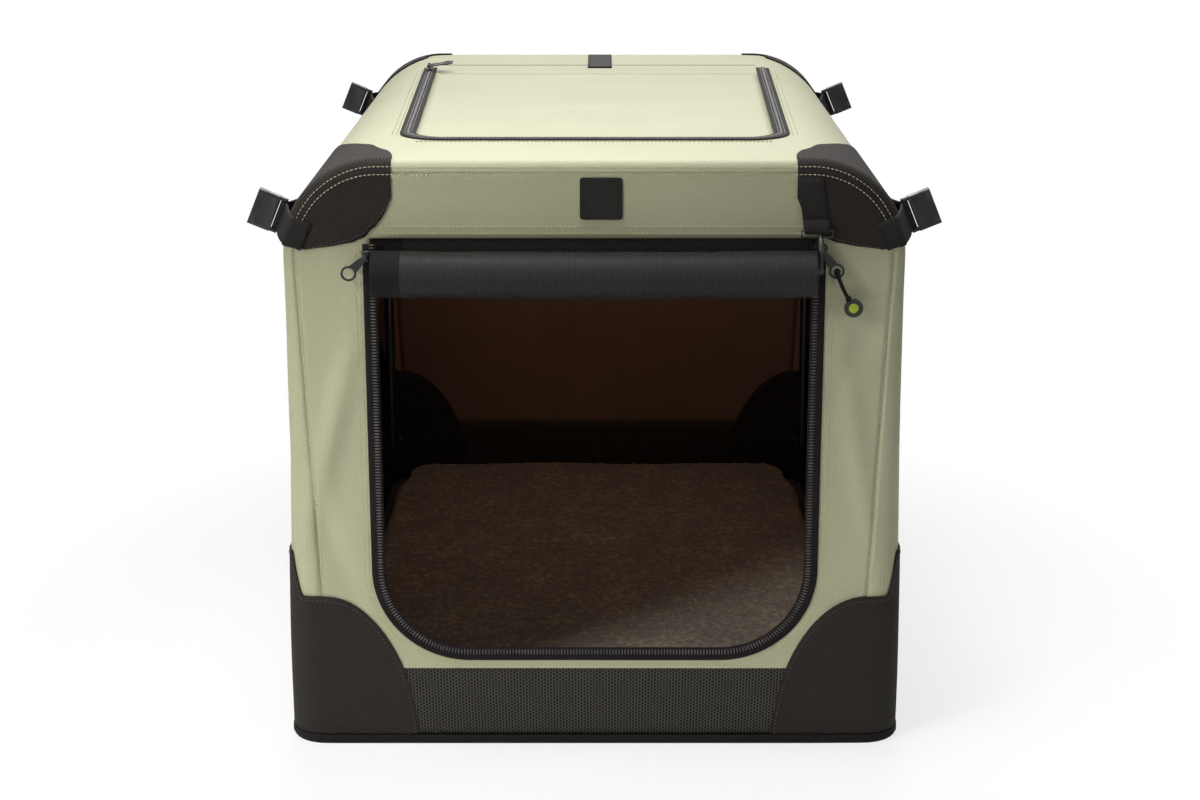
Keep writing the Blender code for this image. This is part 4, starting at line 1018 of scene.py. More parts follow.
def matPlace(u, v, w):
    # a place of the unit cube moved onto the mat
    halfX, halfY, edge = mat["halfX"], mat["halfY"], mat["edge"]
    halfZ = (mat["top"] - mat["low"]) / 2
    x, y, rim = roundCorner(u * 2 * halfX, v * 2 * halfY, halfX, halfY, mat["corner"])
    z = w * 2 * halfZ
    hingeFree = smooth(mat["hingeY"] - abs(y), 0.0, mat["hingeBlend"])
    x *= 1 + mat["pushedOut"] / halfX * hingeFree * smooth(abs(x), 0.1, halfX)
    # a rounded edge: points near the rim fall from the top and rise from the bottom
    if rim < edge and abs(z) > halfZ - edge:
        a, b = 1 - max(rim, 0) / edge, (abs(z) - (halfZ - edge)) / edge
        reach = math.hypot(a, b)
        if reach > 1e-6 and max(a, b) > 0:
            pull = max(a, b) / reach
            z = math.copysign(halfZ - edge + b * pull * edge, z)
            shrink = 1 - (a * (1 - pull) * edge) / math.hypot(x, y)
            x, y = x * shrink, y * shrink
    if z > 0:
        z += mat["crown"] * smooth(rim, 0.0, mat["crownWidth"]) - mat["settled"]
        z += mat["tuft"] * noise.noise(Vector((x, y, 0)) * 130) * smooth(rim, 0, 0.01)
        z += mat["wave"] * noise.noise(Vector((x, y, 3)) * 8)
        z = min(z, halfZ)
    return Vector((x, y, (mat["low"] + mat["top"]) / 2 + z))


matShape = bmesh.new()
bmesh.ops.create_cube(matShape, size=1.0)
bmesh.ops.subdivide_edges(matShape, edges=matShape.edges, cuts=111, use_grid_fill=True)
for vert in matShape.verts:
    vert.co = matPlace(*vert.co)
matPiece = addPiece("fleeceMat", matShape, [fleece])
onBase(matPiece, ("fleece_mat",), flatten=False)
print("mat made")


# Round tube for the frames, as swept circles

def tubePiece(name, points, radius, finish, cyclic=False):
    curve = bpy.data.curves.new(name, "CURVE")
    curve.dimensions = "3D"
    curve.bevel_depth, curve.bevel_resolution = radius, 4
    curve.use_fill_caps = True
    line = curve.splines.new("POLY")
    line.points.add(len(points) - 1)
    for spot, place in zip(line.points, points):
        spot.co = (*place, 1)
    line.use_cyclic_u = cyclic
    return curveMesh(name, curve, [finish])


def curveMesh(name, curve, finishes):
    holder = bpy.data.objects.new(name + "Curve", curve)
    scene.collection.objects.link(holder)
    mesh = bpy.data.meshes.new_from_object(holder.evaluated_get(bpy.context.evaluated_depsgraph_get()))
    bpy.data.objects.remove(holder)
    mesh.name = name
    mesh.materials.clear()
    for finish in finishes:
        mesh.materials.append(finish)
    for face in mesh.polygons:
        face.material_index = 0
        face.use_smooth = True
    made = bpy.data.objects.new(name, mesh)
    scene.collection.objects.link(made)
    return made


frames = {
    "radius": 0.0065,
    "ringInset": 0.0090, "ringZ": 0.0093, "ringCorner": 0.036,
    # node, half width at the feet, y and z of the hinge, radius of the bends, y of the cross-bar
    "uFrames": (("front_frame", 0.262, -0.385, 0.050, 0.080, -0.398),
                ("rear_frame", 0.280, 0.375, 0.070, 0.085, 0.398)),
    "topZ": 0.5805, "foot": 0.010,
    "sleeve": 0.0005,       # cloth sleeve that holds the base ring
}
for node, legX, pivotY, pivotZ, bend, topY in frames["uFrames"]:
    pivot = Vector((0, pivotY, pivotZ))
    height = Vector((0, topY, frames["topZ"])) - pivot
    half = [Vector((legX, -frames["foot"]))] + arcLine(legX - bend, height.length - bend, bend, 0.0, math.pi / 2, 16)
    flat = half + [Vector((-p.x, p.y)) for p in reversed(half)]
    line = [pivot + right * p.x + height.normalized() * p.y for p in flat]
    onBody(tubePiece(pieceName(node), line, frames["radius"], enamel), node, (node,))
ring = [Vector((p.x, p.y, frames["ringZ"])) for p in
        roundedOutline(halfWidth - frames["ringInset"], halfDepth - frames["ringInset"], frames["ringCorner"], 10)]
onBase(tubePiece("baseRing", ring, frames["radius"], enamel, cyclic=True), ("base_frame", "frame_joiner"),
       flatten=False)
sleeve = tubePiece("ringSleeve", ring, frames["radius"] + frames["sleeve"], tape, cyclic=True)
onBase(sleeve, flatten=False)
# the solids that show as they are
for name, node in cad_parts.items():
    if name.startswith("hinge_") or name == "floor_panel":
        node.data.materials.clear()
        node.data.materials.append(fibreboard if name == "floor_panel" else enamel)
print("frames made")


# Zips: tape, coil and stitches

zips = {
    "thickness": 0.0010, "doorRows": 4, "roofRows": 6, "doorStep": 0.0058,
    "doorCoil": {"pitch": 0.0030, "lift": 0.0014, "sizes": (0.0015, 0.0064, 0.0018)},
    "roofCoil": {"gaps": (0.0080,), "pitch": 0.0026, "lift": 0.0012, "sizes": (0.0017, 0.0046, 0.0016)},
    "roofLines": {"gaps": (0.0048, 0.0112), "pitch": 0.0031, "lift": 0.0012, "sizes": (0.0029, 0.0008, 0.0005)},
}


def zipTape(name, outer, inner, width, runs, rows, pairAt):
    shape = sheetBetween(outer, inner, rows, pairAt, lambda i, v, spot: (runs[i], v * width), cover["gap"])
    return thicken(faceOut(addPiece(name, shape, [tape])), zips["thickness"], offset=1.0)


def zipThreads(name, lines, kind, pairAt, across, finish):
    # turns of the coil, or stretches of thread, along flat lines in the plane of right and across
    places = []
    for line in lines:
        for span, share in walk(line, kind["pitch"]):
            a, b = line[span], line[span + 1]
            spot, way = a.lerp(b, share), right * (b - a).x + across * (b - a).y
            place, normal = lifted(pairAt(spot.x, spot.y), cover["gap"] + kind["lift"])
            places.append(laidAlong(way, normal, place))
    return repeatShape(name, places, kind["sizes"], finish)


def doorZip():
    outer, inner = doorLine(0.0, 220), doorLine(door["tape"], 220)
    kept = [(a, b) for a, b in zip(outer, inner) if a.y < door["tapeTop"]]
    outer, inner = zip(*kept)
    runs = [i * zips["doorStep"] for i in range(len(outer))]
    tapePiece = zipTape("doorZipTape", outer, inner, door["tape"], runs, zips["doorRows"], facePair)
    onBase(tapePiece, ("front_zip",))
    line = [p for p in doorLine(door["coilInset"], 400) if p.y < door["tapeTop"]]
    onBase(zipThreads("doorZipCoil", [line], zips["doorCoil"], facePair, up, coil))


doorZip()


def hatchLine(gap):
    # round three sides of the hatch at a distance from it, from the right rear end to the left one
    radius, frontY = hatch["corner"] + gap, hatch["frontY"] - gap
    bendY = frontY + radius
    half = hatchHalf(bendY) + gap
    points = [Vector((hatchHalf(y) + gap, y)) for y in spread([bendY, hatch["tapeEnd"]], 0.008)[::-1]]
    points += arcLine(half - radius, bendY, radius, 0.0, -math.pi / 2, 14)[1:]
    return mirrored(points + [Vector((x, frontY)) for x in spread([0.0, half - radius], 0.008)[::-1][1:]])


def roofPair(x, y):
    return archPair(-1 if x < 0 else 1, abs(x), y)


def roofZip():
    outer, inner = hatchLine(hatch["gap"] + hatch["tape"]), hatchLine(hatch["gap"])
    tapePiece = zipTape("roofZipTape", outer, inner, hatch["tape"], runsAlong(outer), zips["roofRows"], roofPair)
    onBody(tapePiece, "roof_fittings", ("roof_zip",))
    for name, sizes, finish in (("roofZipCoil", "roofCoil", coil), ("roofZipLines", "roofLines", paleLine)):
        kind = zips[sizes]
        lines = [hatchLine(hatch["gap"] + gap) for gap in kind["gaps"]]
        onBody(zipThreads(name, lines, kind, roofPair, back, finish), "roof_fittings")


roofZip()
print("zips made")


# Rolled-up door: a spiral of net whose last turn runs up behind the front panel

roll = {
    "radius": 0.0248, "core": 0.0050, "turns": 4, "perTurn": 34, "ply": 0.0013, "sag": 0.0012,
    "centreY": -0.4294, "centreZ": 0.488, "half": 0.2079, "tailTop": 0.529, "tailRows": 5,
    "plainEnd": 0.029,      # width of the plain strip at the left end
}


def rollLine():
    points = []
    for t in fractions(roll["turns"] * roll["perTurn"]):
        radius = roll["core"] + (roll["radius"] - roll["ply"] / 2 - roll["core"]) * t
        turn = 2 * math.pi * roll["turns"] * (t - 1)
        points.append(Vector((roll["centreY"] + radius * math.cos(turn), roll["centreZ"] + radius * math.sin(turn))))
    last = points[-1]
    points += [Vector((last.x, last.y + (roll["tailTop"] - last.y) * t)) for t in fractions(roll["tailRows"], 1)]
    return points


def doorRoll():
    line = rollLine()
    runs, wound = runsAlong(line), len(line) - 1 - roll["tailRows"]
    centre = Vector((roll["centreY"], roll["centreZ"]))

    def rollPoint(u, v):
        i = round(v * (len(line) - 1))
        x = (2 * u - 1) * roll["half"]
        spot = line[i].copy()
        if i <= wound:      # dents and sag fade out before the tail
            wave = noise.noise(Vector((x * 14, runs[i] * 3, 1.7))) * 0.05
            wave += noise.noise(Vector((x * 40, 5.0, 0))) * 0.02
            loose = smooth(wound - i, 0, 10)
            spot -= (line[i] - centre) * max(wave, 0.0) * loose
            spot.y -= roll["sag"] * math.sin(math.pi * u) * loose
        return Vector((x, spot.x, spot.y)), (x, runs[i])

    piece = addPiece("doorRoll", clothGrid(150, len(line) - 1, rollPoint), [doorNet, tape])
    for face in piece.data.polygons:
        if face.center.x < roll["plainEnd"] - roll["half"]:
            face.material_index = 1
    onBase(thicken(piece, roll["ply"], offset=0.0), ("door_roll",))


doorRoll()
print("door rolled")


# Webbing loops over the roof corners, each holding the socket half of a buckle by its bar

def webbingPiece(name, path, across, width, thickness):
    runs = runsAlong(path)

    def stripPoint(u, v):
        i = round(u * (len(path) - 1))
        offset = (v - 0.5) * width
        return path[i] + across * offset, (runs[i], offset)

    return thicken(addPiece(name, clothGrid(len(path) - 1, 6, stripPoint), [webbing]), thickness, offset=0.0)


corner = {
    "facet": math.radians(22.5), "wrap": math.radians(108), "width": 0.028, "ply": 0.0015,
    "y": 0.370, "reach": 0.009, "slide": 0.007, "bar": 0.0020, "barPlay": 0.0004,
    "seatLift": 0.0008, "tailLift": 0.0010,
    "sewnY": (0.326, 0.336), "beforeBar": 0.0125,
    "afterBar": (-0.0035, 0.0075), "overEdge": (0.0015, 0.0230),    # steps out and along, from the bar and the seat
    "tail": ((-0.0050, -0.0025), (-0.0110, 0.0), (-0.0240, 0.0)),   # down the end patch, from the seat and the patch
}
buckle = {
    "high": 0.036, "long": 0.0225, "thick": 0.009, "wall": 0.0018, "clear": 0.0008, "mouthShare": 0.8, "edge": 0.0006,
    "windowRim": 0.0022, "windowDepth": 0.0012, "plateRim": 0.0035, "plateDepth": 0.0006,
    "earThick": 0.0052, "earPast": 0.004, "earBack": 0.0024, "earEdge": 0.0010, "earGap": 0.0003, "barShort": 0.003,
}


def cornerLoop(side, end, where):
    turn = corner["facet"]
    out = Vector((side * math.cos(turn), 0, math.sin(turn)))
    rise = Vector((-side * math.sin(turn), 0, math.cos(turn)))
    centre = Vector((side * flatHalf, 0, sideTop)) - rise * corner["slide"]
    patchOut = shoulderR + cover["gap"] + patch["thickness"]
    seat = patchOut + corner["seatLift"]
    bar = patchOut * math.cos(firstTilt) + cover["gap"] + corner["ply"] / 2 + corner["reach"]
    barTurn = corner["bar"] + corner["barPlay"] + corner["ply"] / 2
    tailY = halfDepth + cover["gap"] + patch["thickness"] + corner["tailLift"]
    # the strap's run, as distances out and along y
    key = [(seat, y) for y in corner["sewnY"]] + [((seat + bar) / 2, corner["y"] - corner["beforeBar"])]
    key += arcLine(bar, corner["y"], barTurn, -corner["wrap"], 2 * corner["wrap"], 10)
    key += [(start + step, corner["y"] + along) for start, (step, along) in
            ((bar, corner["afterBar"]), (seat, corner["overEdge"]))]
    key += [(seat + down, tailY + off) for down, off in corner["tail"]]
    path = smoothPath([centre + out * r + back * end * y for r, y in key], 4)
    node = "corner_strap_" + where
    onBase(webbingPiece(pieceName(node), path, rise, corner["width"], corner["ply"]), (node,))
    turned = basis(out, rise.cross(out), rise, centre + out * bar + back * end * corner["y"])
    piece = addPiece(pieceName("buckle_" + where), buckleShape(barTurn, turned), [acetal])
    onBody(piece, "buckle_" + where, ("buckle_" + where,))


def buckleShape(barTurn, turned):
    # built lying with its bar at the middle, x out, y through the thickness, z along the bar
    start = barTurn + corner["ply"] / 2 + buckle["clear"]
    high, long, thick = buckle["high"], buckle["long"], buckle["thick"]
    shape = bmesh.new()
    addBox(shape, (long, thick, high), (start + long / 2, 0, 0))
    mouth = max(shape.faces, key=lambda f: f.calc_center_median().x)
    bmesh.ops.inset_region(shape, faces=[mouth], thickness=buckle["wall"], use_even_offset=True)
    bmesh.ops.translate(shape, verts=mouth.verts, vec=(-long * buckle["mouthShare"], 0, 0))
    for sign in (-1, 1):
        window = max((f for f in shape.faces if abs(f.normal.z) > 0.9 and
                      f.calc_center_median().z * sign > high * 0.49), key=lambda f: f.calc_area())
        bmesh.ops.inset_region(shape, faces=[window], thickness=buckle["windowRim"], use_even_offset=True)
        bmesh.ops.translate(shape, verts=window.verts, vec=(0, 0, -sign * buckle["windowDepth"]))
    for sign in (-1, 1):
        plate = max((f for f in shape.faces if f.normal.y * sign > 0.9), key=lambda f: f.calc_area())
        bmesh.ops.inset_region(shape, faces=[plate], thickness=buckle["plateRim"], depth=-buckle["plateDepth"],
                               use_even_offset=True)
    sharp = [e for e in shape.edges if len(e.link_faces) == 2 and e.calc_face_angle(0) > 0.6]
    bevelEdges(shape, sharp, buckle["edge"], 2)
    ear = (high - corner["width"]) / 2 - buckle["edge"]
    reach = start + buckle["earPast"]
    for sign in (-1, 1):
        verts = addBox(shape, (reach, buckle["earThick"], ear),
                       (reach / 2 - buckle["earBack"], 0, sign * (high / 2 - ear / 2 - buckle["earGap"])))
        bevelEdges(shape, list({e for v in verts for e in v.link_edges}), buckle["earEdge"])
    bmesh.ops.create_cone(shape, cap_ends=True, segments=20, radius1=corner["bar"], radius2=corner["bar"],
                          depth=high - buckle["barShort"])
    bmesh.ops.transform(shape, matrix=turned, verts=shape.verts)
    return shape


for end, place in ends:
    for side, hand in sides:
        cornerLoop(side, end, place + "_" + hand)
print("corner straps and buckles made")


# Flat plates with round corners and holes, from filled curves

def platePiece(name, outlines, thickness, edge, place, finishes):
    curve = bpy.data.curves.new(name, "CURVE")
    curve.dimensions, curve.fill_mode = "2D", "BOTH"
    curve.extrude, curve.bevel_depth, curve.bevel_resolution = thickness / 2 - edge, edge, 2
    for outline in outlines:
        line = curve.splines.new("POLY")
        line.points.add(len(outline) - 1)
        for spot, (x, y) in zip(line.points, outline):
            spot.co = (x, y, 0, 1)
        line.use_cyclic_u = True
    curve.offset = -edge
    piece = curveMesh(name, curve, finishes)
    piece.data.transform(place)
    return piece


def joinPieces(name, pieces):
    # one piece from several, finish by finish
    shape = bmesh.new()
    finishes = []
    for piece in pieces:
        first = len(shape.faces)
        slots = []
        for finish in piece.data.materials:
            if finish not in finishes:
                finishes.append(finish)
            slots.append(finishes.index(finish))
        shape.from_mesh(piece.data)
        shape.faces.ensure_lookup_table()
        for face in shape.faces[first:]:
            face.material_index = slots[face.material_index]
    for piece in pieces:
        bpy.data.objects.remove(piece)
    return addPiece(name, shape, finishes)


# Sliders and pulls of the zips

slider = {
    "length": 0.0110, "width": 0.0085, "height": 0.0032, "taper": 0.72, "edge": 0.0009,
    "bailRise": 0.0026, "bailHalf": 0.0034, "bailWire": 0.0008, "bailRound": 0.0006, "bailSunk": 0.3,
    "frontX": 0.2150, "frontLift": 0.0026,
    "left": (0.5005, 46.0), "right": (0.5056, 35.0),        # height, and the pull's angle off the vertical
    "roofY": 0.226, "roofPitch": 0.015, "roofLift": 0.0018,
}
pull = {
    "length": 0.0300, "ring": 0.0074, "neck": 0.0046, "thickness": 0.0016, "hole": 0.0053, "edge": 0.0004,
    "stem": ((0.012, 0.004232), (0.006, 0.00345), (0.0012, 0.0022), (-0.0012, 0.0020)),     # run and half width
    "knuckle": 0.0021, "knuckleLength": 0.0040,
    "ribs": 5, "ribSize": (0.0007, 0.0032, 0.0018), "ribStart": 0.0075, "ribPitch": 0.0018, "ribEdge": 0.0002,
}


def sliderPiece(name, base, along, normal, bar, barWay):
    shape = bmesh.new()
    addBox(shape, (slider["width"], slider["length"], slider["height"]))
    for vert in shape.verts:            # narrower at the closed end
        if vert.co.y > 0:
            vert.co.x *= slider["taper"]
    bevelEdges(shape, list(shape.edges), slider["edge"])
    middle = base + normal * slider["height"] / 2
    bmesh.ops.transform(shape, matrix=basis(along.cross(normal), along, normal, middle), verts=shape.verts)
    half, low = slider["bailHalf"], slider["bailRise"] + slider["height"] * slider["bailSunk"]
    # the bail's wire, as distances along the bar and below it
    key = [(half, low), (half, slider["bailRound"]), (half * 0.6, 0.0)]
    key = [(-x, z) for x, z in key] + key[::-1]
    wire = smoothPath([bar + barWay * x - normal * z for x, z in key], 5)
    bail = tubePiece(name + "Bail", wire, slider["bailWire"], acetal)
    return joinPieces(name, [addPiece(name + "Body", shape, [acetal]), bail])


def pullPiece(name, bar, barWay, normal, way):
    # plate with its hole, knuckle round the bar and grip ribs
    ring, hole = pull["ring"], pull["length"] - pull["ring"]
    start = math.asin(pull["neck"] / ring) - math.pi
    outline = arcLine(hole, 0.0, ring, start, -2 * start, 28)
    outline += [*pull["stem"], *[(x, -y) for x, y in reversed(pull["stem"])]]
    flat = basis(way, normal.cross(way), normal, bar)
    plate = platePiece(name + "Plate", [outline, disc(pull["hole"], 28, hole)], pull["thickness"], pull["edge"], flat,
                       [acetal])
    knuckle = bmesh.new()
    bmesh.ops.create_cone(knuckle, cap_ends=True, segments=20, radius1=pull["knuckle"], radius2=pull["knuckle"],
                          depth=pull["knuckleLength"])
    bevelEdges(knuckle, [e for e in knuckle.edges if e.calc_face_angle(0) > 1], pull["edge"], 2, clamp=False)
    bmesh.ops.transform(knuckle, matrix=basis(way, normal, barWay, bar), verts=knuckle.verts)
    ribs = bmesh.new()
    for i in range(pull["ribs"]):
        addBox(ribs, pull["ribSize"], (pull["ribStart"] + i * pull["ribPitch"], 0, 0))
    bevelEdges(ribs, list(ribs.edges), pull["ribEdge"], 2, clamp=False)
    bmesh.ops.transform(ribs, matrix=flat, verts=ribs.verts)
    return joinPieces(name, [plate, addPiece(name + "Knuckle", knuckle, [acetal]),
                             addPiece(name + "Ribs", ribs, [acetal])])


def makeSlider(sliderNode, pullNode, base, along, normal, way):
    # a slider with its pull hanging along the way; gives the middle of the pull's hole
    bar, barWay = base + normal * (slider["height"] + slider["bailRise"]), way.cross(normal)
    onBody(sliderPiece(pieceName(sliderNode), base, along, normal, bar, barWay), sliderNode, (sliderNode,))
    onBody(pullPiece(pieceName(pullNode), bar, barWay, normal, way), pullNode, (pullNode,))
    return bar + way * (pull["length"] - pull["ring"])


pullHoles = {}
for side, hand in sides:
    z, angle = slider[hand]
    turn = math.radians(angle)
    base = Vector((side * slider["frontX"], -halfDepth - slider["frontLift"], z))
    pullHoles[hand] = makeSlider("front_slider_" + hand, "front_pull_" + hand, base, -up, outward,
                                 Vector((side * math.sin(turn), 0, -math.cos(turn))))


def tapeMiddle(y):
    half = hatchHalf(y) + hatch["gap"] + hatch["tape"] / 2
    return Vector((-half, y, topZ - (half - flatHalf) * math.tan(firstTilt)))


roofNormal = Vector((-math.sin(firstTilt), 0, math.cos(firstTilt)))
roofAlong = (tapeMiddle(slider["roofY"] - hatch["rearY"]) - tapeMiddle(slider["roofY"])).normalized()
sideways = roofAlong.cross(roofNormal)
if sideways.x < 0:
    sideways = -sideways
for index, (_, which) in enumerate(ends):
    base = tapeMiddle(slider["roofY"] + index * slider["roofPitch"]) + roofNormal * slider["roofLift"]
    makeSlider("roof_slider_" + which, "roof_pull_" + which, base, roofAlong, roofNormal, sideways)
print("sliders and pulls made")


# Short cord with its round tag on the right pull

tag = {
    "cordRadius": 0.0018, "radius": 0.0090, "thickness": 0.0024, "lean": 30.0,
    "steps": ((0.0, 0.0, 0.0), (0.0030, -0.0012, -0.0090), (0.0075, -0.0010, -0.0190), (0.0120, 0.0, -0.0270)),
    "pullKnot": 0.0034, "tagKnot": 0.0027, "knotShape": (1.0, 0.8, 1.25, 1.0),
    # radius, thickness and edge of the disc, its raised rim and the green dot
    "disc": (1.0, 0.6, 0.0004), "rim": (1.0, 1.0, 0.0005), "rimHole": 0.80, "dot": (0.52, 0.8, 0.0003),
}
tieSpot = pullHoles["right"] + outward * (pull["thickness"] / 2 + tag["cordRadius"] + cover["gap"])
route = smoothPath([tieSpot + Vector(step) for step in tag["steps"]], 8)
cord = tubePiece("pullCord", route, tag["cordRadius"], tape)
for name, at in (("pullKnot", route[1]), ("tagKnot", route[-2])):
    knotShape = bmesh.new()
    bmesh.ops.create_uvsphere(knotShape, u_segments=20, v_segments=12, radius=tag[name],
                              matrix=Matrix.Translation(at) @ Matrix.Diagonal(tag["knotShape"]))
    onBody(addPiece(name, knotShape, [tape]), "front_pull_right")
lean = math.radians(tag["lean"])
drop = Vector((math.sin(lean), 0, -math.cos(lean)))
tagPlace = basis(drop, back.cross(drop), outward,
                 tieSpot + Vector(tag["steps"][-1]) + drop * (tag["radius"] + cover["gap"]))


def tagLayer(part, finish, count=40, holes=()):
    wide, thick, edge = tag[part]
    outlines = [disc(tag["radius"] * share, count) for share in (wide, *holes)]
    return platePiece("tag" + part.title(), outlines, tag["thickness"] * thick, edge, tagPlace, [finish])


tagPiece = joinPieces("pullTag", [tagLayer("disc", acetal), tagLayer("rim", acetal, holes=(tag["rimHole"],)),
                                  tagLayer("dot", rubber, 32)])
onBody(tagPiece, "front_pull_right", ("pull_tag",))
onBody(cord, "front_pull_right", ("pull_cord",))


# Door strap, ring and hook, label and roof tab

strap = {
    "x": 0.209, "width": 0.024, "ply": 0.0015, "top": 0.570, "middle": 0.55, "barZ": 0.525, "returnRise": 0.011,
    "tuck": (0.0016, 0.006), "lean": 0.008, "leanHeight": 0.055,
    "wire": 0.0011, "loopPlay": 0.0004, "ringDrop": 0.006, "ringPlay": 0.0003,
    "hookX": 0.212, "hookOut": 0.0105, "hookLow": 0.490, "shank": 0.0029, "curl": 0.0042,
}
strapY = -halfDepth - 2 * cover["gap"] - patch["thickness"] - strap["ply"] / 2
foldRadius = strap["wire"] + strap["loopPlay"] + strap["ply"] / 2
barY = strapY - foldRadius
tuckY, tuckZ = strap["tuck"]
line = [(strapY + tuckY, strap["top"] + tuckZ), (strapY, strap["top"]), (strapY, strap["middle"])]
line += arcLine(barY, strap["barZ"], foldRadius, 0.0, -math.pi, 10)
line += [(barY - foldRadius + strap["ply"] / 2, strap["barZ"] + strap["returnRise"])]
line = [Vector((strap["x"] - strap["lean"] * max(z - strap["barZ"], 0) / strap["leanHeight"], y, z)) for y, z in line]
onBase(webbingPiece("doorStrap", line, right, strap["width"], strap["ply"]), ("door_strap",))
half = right * (strap["width"] / 2 + 2 * strap["wire"] + strap["ringPlay"])
ringTop = Vector((strap["x"], barY, strap["barZ"]))
ringLow = ringTop - up * strap["ringDrop"]
ringLine = [ringTop + half, ringLow + half, ringLow - half, ringTop - half]
hookRing = tubePiece("hookRing", ringLine, strap["wire"], acetal, cyclic=True)
hookY, hookZ, ringZ = barY - strap["hookOut"], strap["hookLow"], ringLow.z
hookKey = ((barY, ringZ + 0.001), (barY - strap["hookOut"] * 0.6, ringZ - 0.004), (hookY, ringZ - 0.011),
           (hookY, hookZ + 0.006), (hookY - 0.001, hookZ), (hookY - strap["curl"], hookZ - 0.001))
hookLine = smoothPath([Vector((strap["hookX"], y, z)) for y, z in hookKey])
hookPiece = joinPieces("strapHook", [hookRing, tubePiece("hookShank", hookLine, strap["shank"], acetal)])
onBody(hookPiece, "strap_hook", ("strap_hook",))

label = {
    "size": 0.040, "x": 0.0065, "z": 0.555, "thickness": 0.0012, "corner": 0.003, "edge": 0.0003,
    # raised borders: inset and width
    "borders": ((0.0016, 0.0012), (0.0040, 0.0006)), "raised": 0.0006, "borderEdge": 0.0002,
    "borderCorners": (0.002, 0.0015),
}
labelPlace = basis(right, up, outward, Vector((label["x"], -halfDepth - cover["gap"] - label["thickness"] / 2,
                                               label["z"])))
labelHalf = label["size"] / 2
plates = [platePiece("labelCloth", [roundedOutline(labelHalf, labelHalf, label["corner"])], label["thickness"],
                     label["edge"], labelPlace, [labelCloth])]
for inset, width in label["borders"]:
    halves = (labelHalf - inset, labelHalf - inset - width)
    outlines = [roundedOutline(reach, reach, radius) for reach, radius in zip(halves, label["borderCorners"])]
    plates.append(platePiece("labelBorder", outlines, label["thickness"] + label["raised"], label["borderEdge"],
                             labelPlace, [labelCloth]))
onBase(joinPieces("labelPatch", plates), ("label_patch",))

roofSeam = {"y": 0.290, "half": 0.20, "thread": 0.0004, "lift": 0.0001}
xs = [(2 * t - 1) * roofSeam["half"] for t in fractions(40)]
seamLine = [Vector((x, roofSeam["y"], station(1, abs(x))[1] + roofSeam["lift"])) for x in xs]
onBase(tubePiece("roofSeam", seamLine, roofSeam["thread"], darkThread))
tab = {"x": 0.004, "width": 0.030, "frontY": 0.262, "rearY": 0.386, "ply": 0.0015}
tabLine = [Vector((tab["x"], y, topZ + cover["gap"] + tab["ply"] / 2)) for y in
           spread([tab["frontY"], tab["rearY"]], 0.006)]
onBody(webbingPiece("roofTab", tabLine, right, tab["width"], tab["ply"]), "roof_fittings", ("roof_tab",))
print("strap, hook, label and tab made")


# Floor, lights and world

studio = {
    "floor": "#FAFAF8", "floorSize": 30.0,
    "floorDrop": 0.0002,
    "shadowReach": (0.46, 0.72),    # metres from the middle, where the shadow fades into white
    "whiteShare": (0.72, 1.0),      # share of even white that the camera sees, near and far
    "world": 0.12,
    # area lights: place, aim, size, power, spread in degrees, colour
    "lights": (
        ("keyLight", (-0.5, -0.75, 3.0), (-0.1, -0.80, 0), 0.8, 3.9, 45, "#FFFFFF"),
        ("topLight", (0.0, 1.3, 2.4), (0, 0, 0.5), 1.8, 12.0, 70, "#FFFFFF"),
        ("fillLight", (-1.75, -1.75, 1.45), (0.16, -0.2, 0.04), 0.6, 0.75, 28, "#FFFDF6"),
        ("floorBounce", (-0.8, -1.3, 0.10), (-0.15, -0.41, 0.05), 0.6, 0.7, 110, "#FFFFFF"),
        # the light that the cloth lets through
        ("clothGlow", (0, 0.05, 0.56), (0, 0.05, 0), 0.42, 0.27, 180, "#FFD8BC"),
    ),
}
floorShape = bmesh.new()
bmesh.ops.create_grid(floorShape, x_segments=1, y_segments=1, size=studio["floorSize"] / 2)
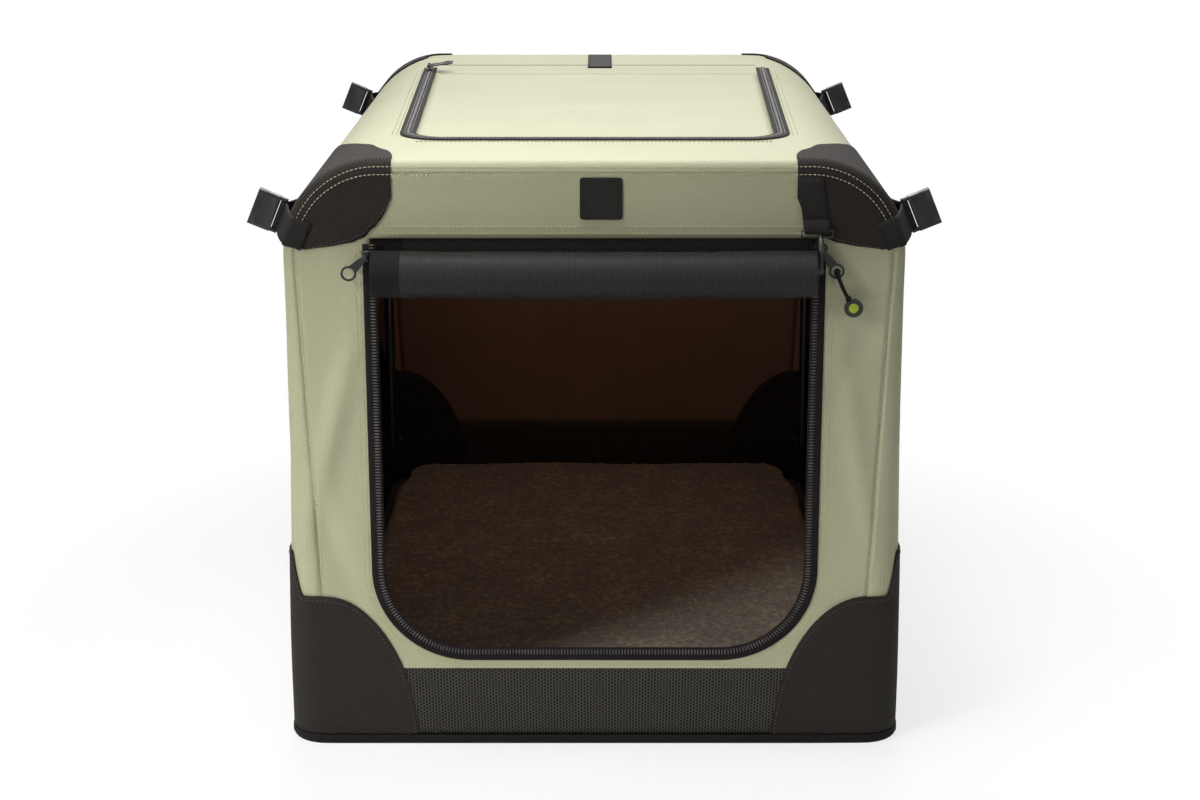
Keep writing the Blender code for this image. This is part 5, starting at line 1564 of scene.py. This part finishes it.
# Matt white paint; away from the crate and its shadow the camera sees it as even white
paint, tree, shader = newMaterial("mattFloorPaint", Roughness=0.9, Base_Color=linear(studio["floor"]))
cameraRay = addNode(tree, "ShaderNodeLightPath").outputs["Is Camera Ray"]
middle = addNode(tree, "ShaderNodeTexCoord").outputs["Object"]
away = addNode(tree, "ShaderNodeVectorMath", {0: middle}, operation="LENGTH").outputs["Value"]
near, far = studio["shadowReach"]
low, high = studio["whiteShare"]
fade = addNode(tree, "ShaderNodeMapRange", {"Value": away, "From Min": near, "From Max": far, "To Min": low,
                                            "To Max": high}, interpolation_type="SMOOTHSTEP").outputs[0]
shown = addNode(tree, "ShaderNodeMath", {0: fade, 1: cameraRay}, operation="MULTIPLY").outputs[0]
white = addNode(tree, "ShaderNodeEmission", {"Color": linear("#FFFFFF"), "Strength": 1.0}).outputs[0]
painted = addNode(tree, "ShaderNodeMixShader", {0: shown, 1: shader.outputs[0], 2: white}).outputs[0]
tree.links.new(painted, tree.nodes["Material Output"].inputs["Surface"])
floor = addPiece("studioFloor", floorShape, [paint], smoothFaces=False)
floor.location.z = -studio["floorDrop"]
for name, place, aim, size, power, angle, tint in studio["lights"]:
    lamp = bpy.data.lights.new(name, "AREA")
    lamp.shape, lamp.size, lamp.energy = "DISK", size, power
    lamp.color, lamp.spread = linear(tint)[:3], math.radians(angle)
    holder = bpy.data.objects.new(name, lamp)
    holder.location = place
    holder.rotation_euler = (Vector(aim) - Vector(place)).to_track_quat("-Z", "Y").to_euler()
    scene.collection.objects.link(holder)
scene.world = bpy.data.worlds.new("studioWorld")
scene.world.use_nodes = True
sky = scene.world.node_tree
sky.nodes.clear()
# white where the camera or a glossy surface sees it, faint where it lights the crate
rays = addNode(sky, "ShaderNodeLightPath").outputs
seen = addNode(sky, "ShaderNodeMath", {0: rays["Is Camera Ray"], 1: rays["Is Glossy Ray"]}, operation="MAXIMUM")
faint, full = [addNode(sky, "ShaderNodeBackground", {"Color": linear("#FFFFFF"), "Strength": strength}).outputs[0]
               for strength in (studio["world"], 1.0)]
both = addNode(sky, "ShaderNodeMixShader", {0: seen.outputs[0], 1: faint, 2: full})
addNode(sky, "ShaderNodeOutputWorld", {"Surface": both.outputs[0]})
print("studio ready")
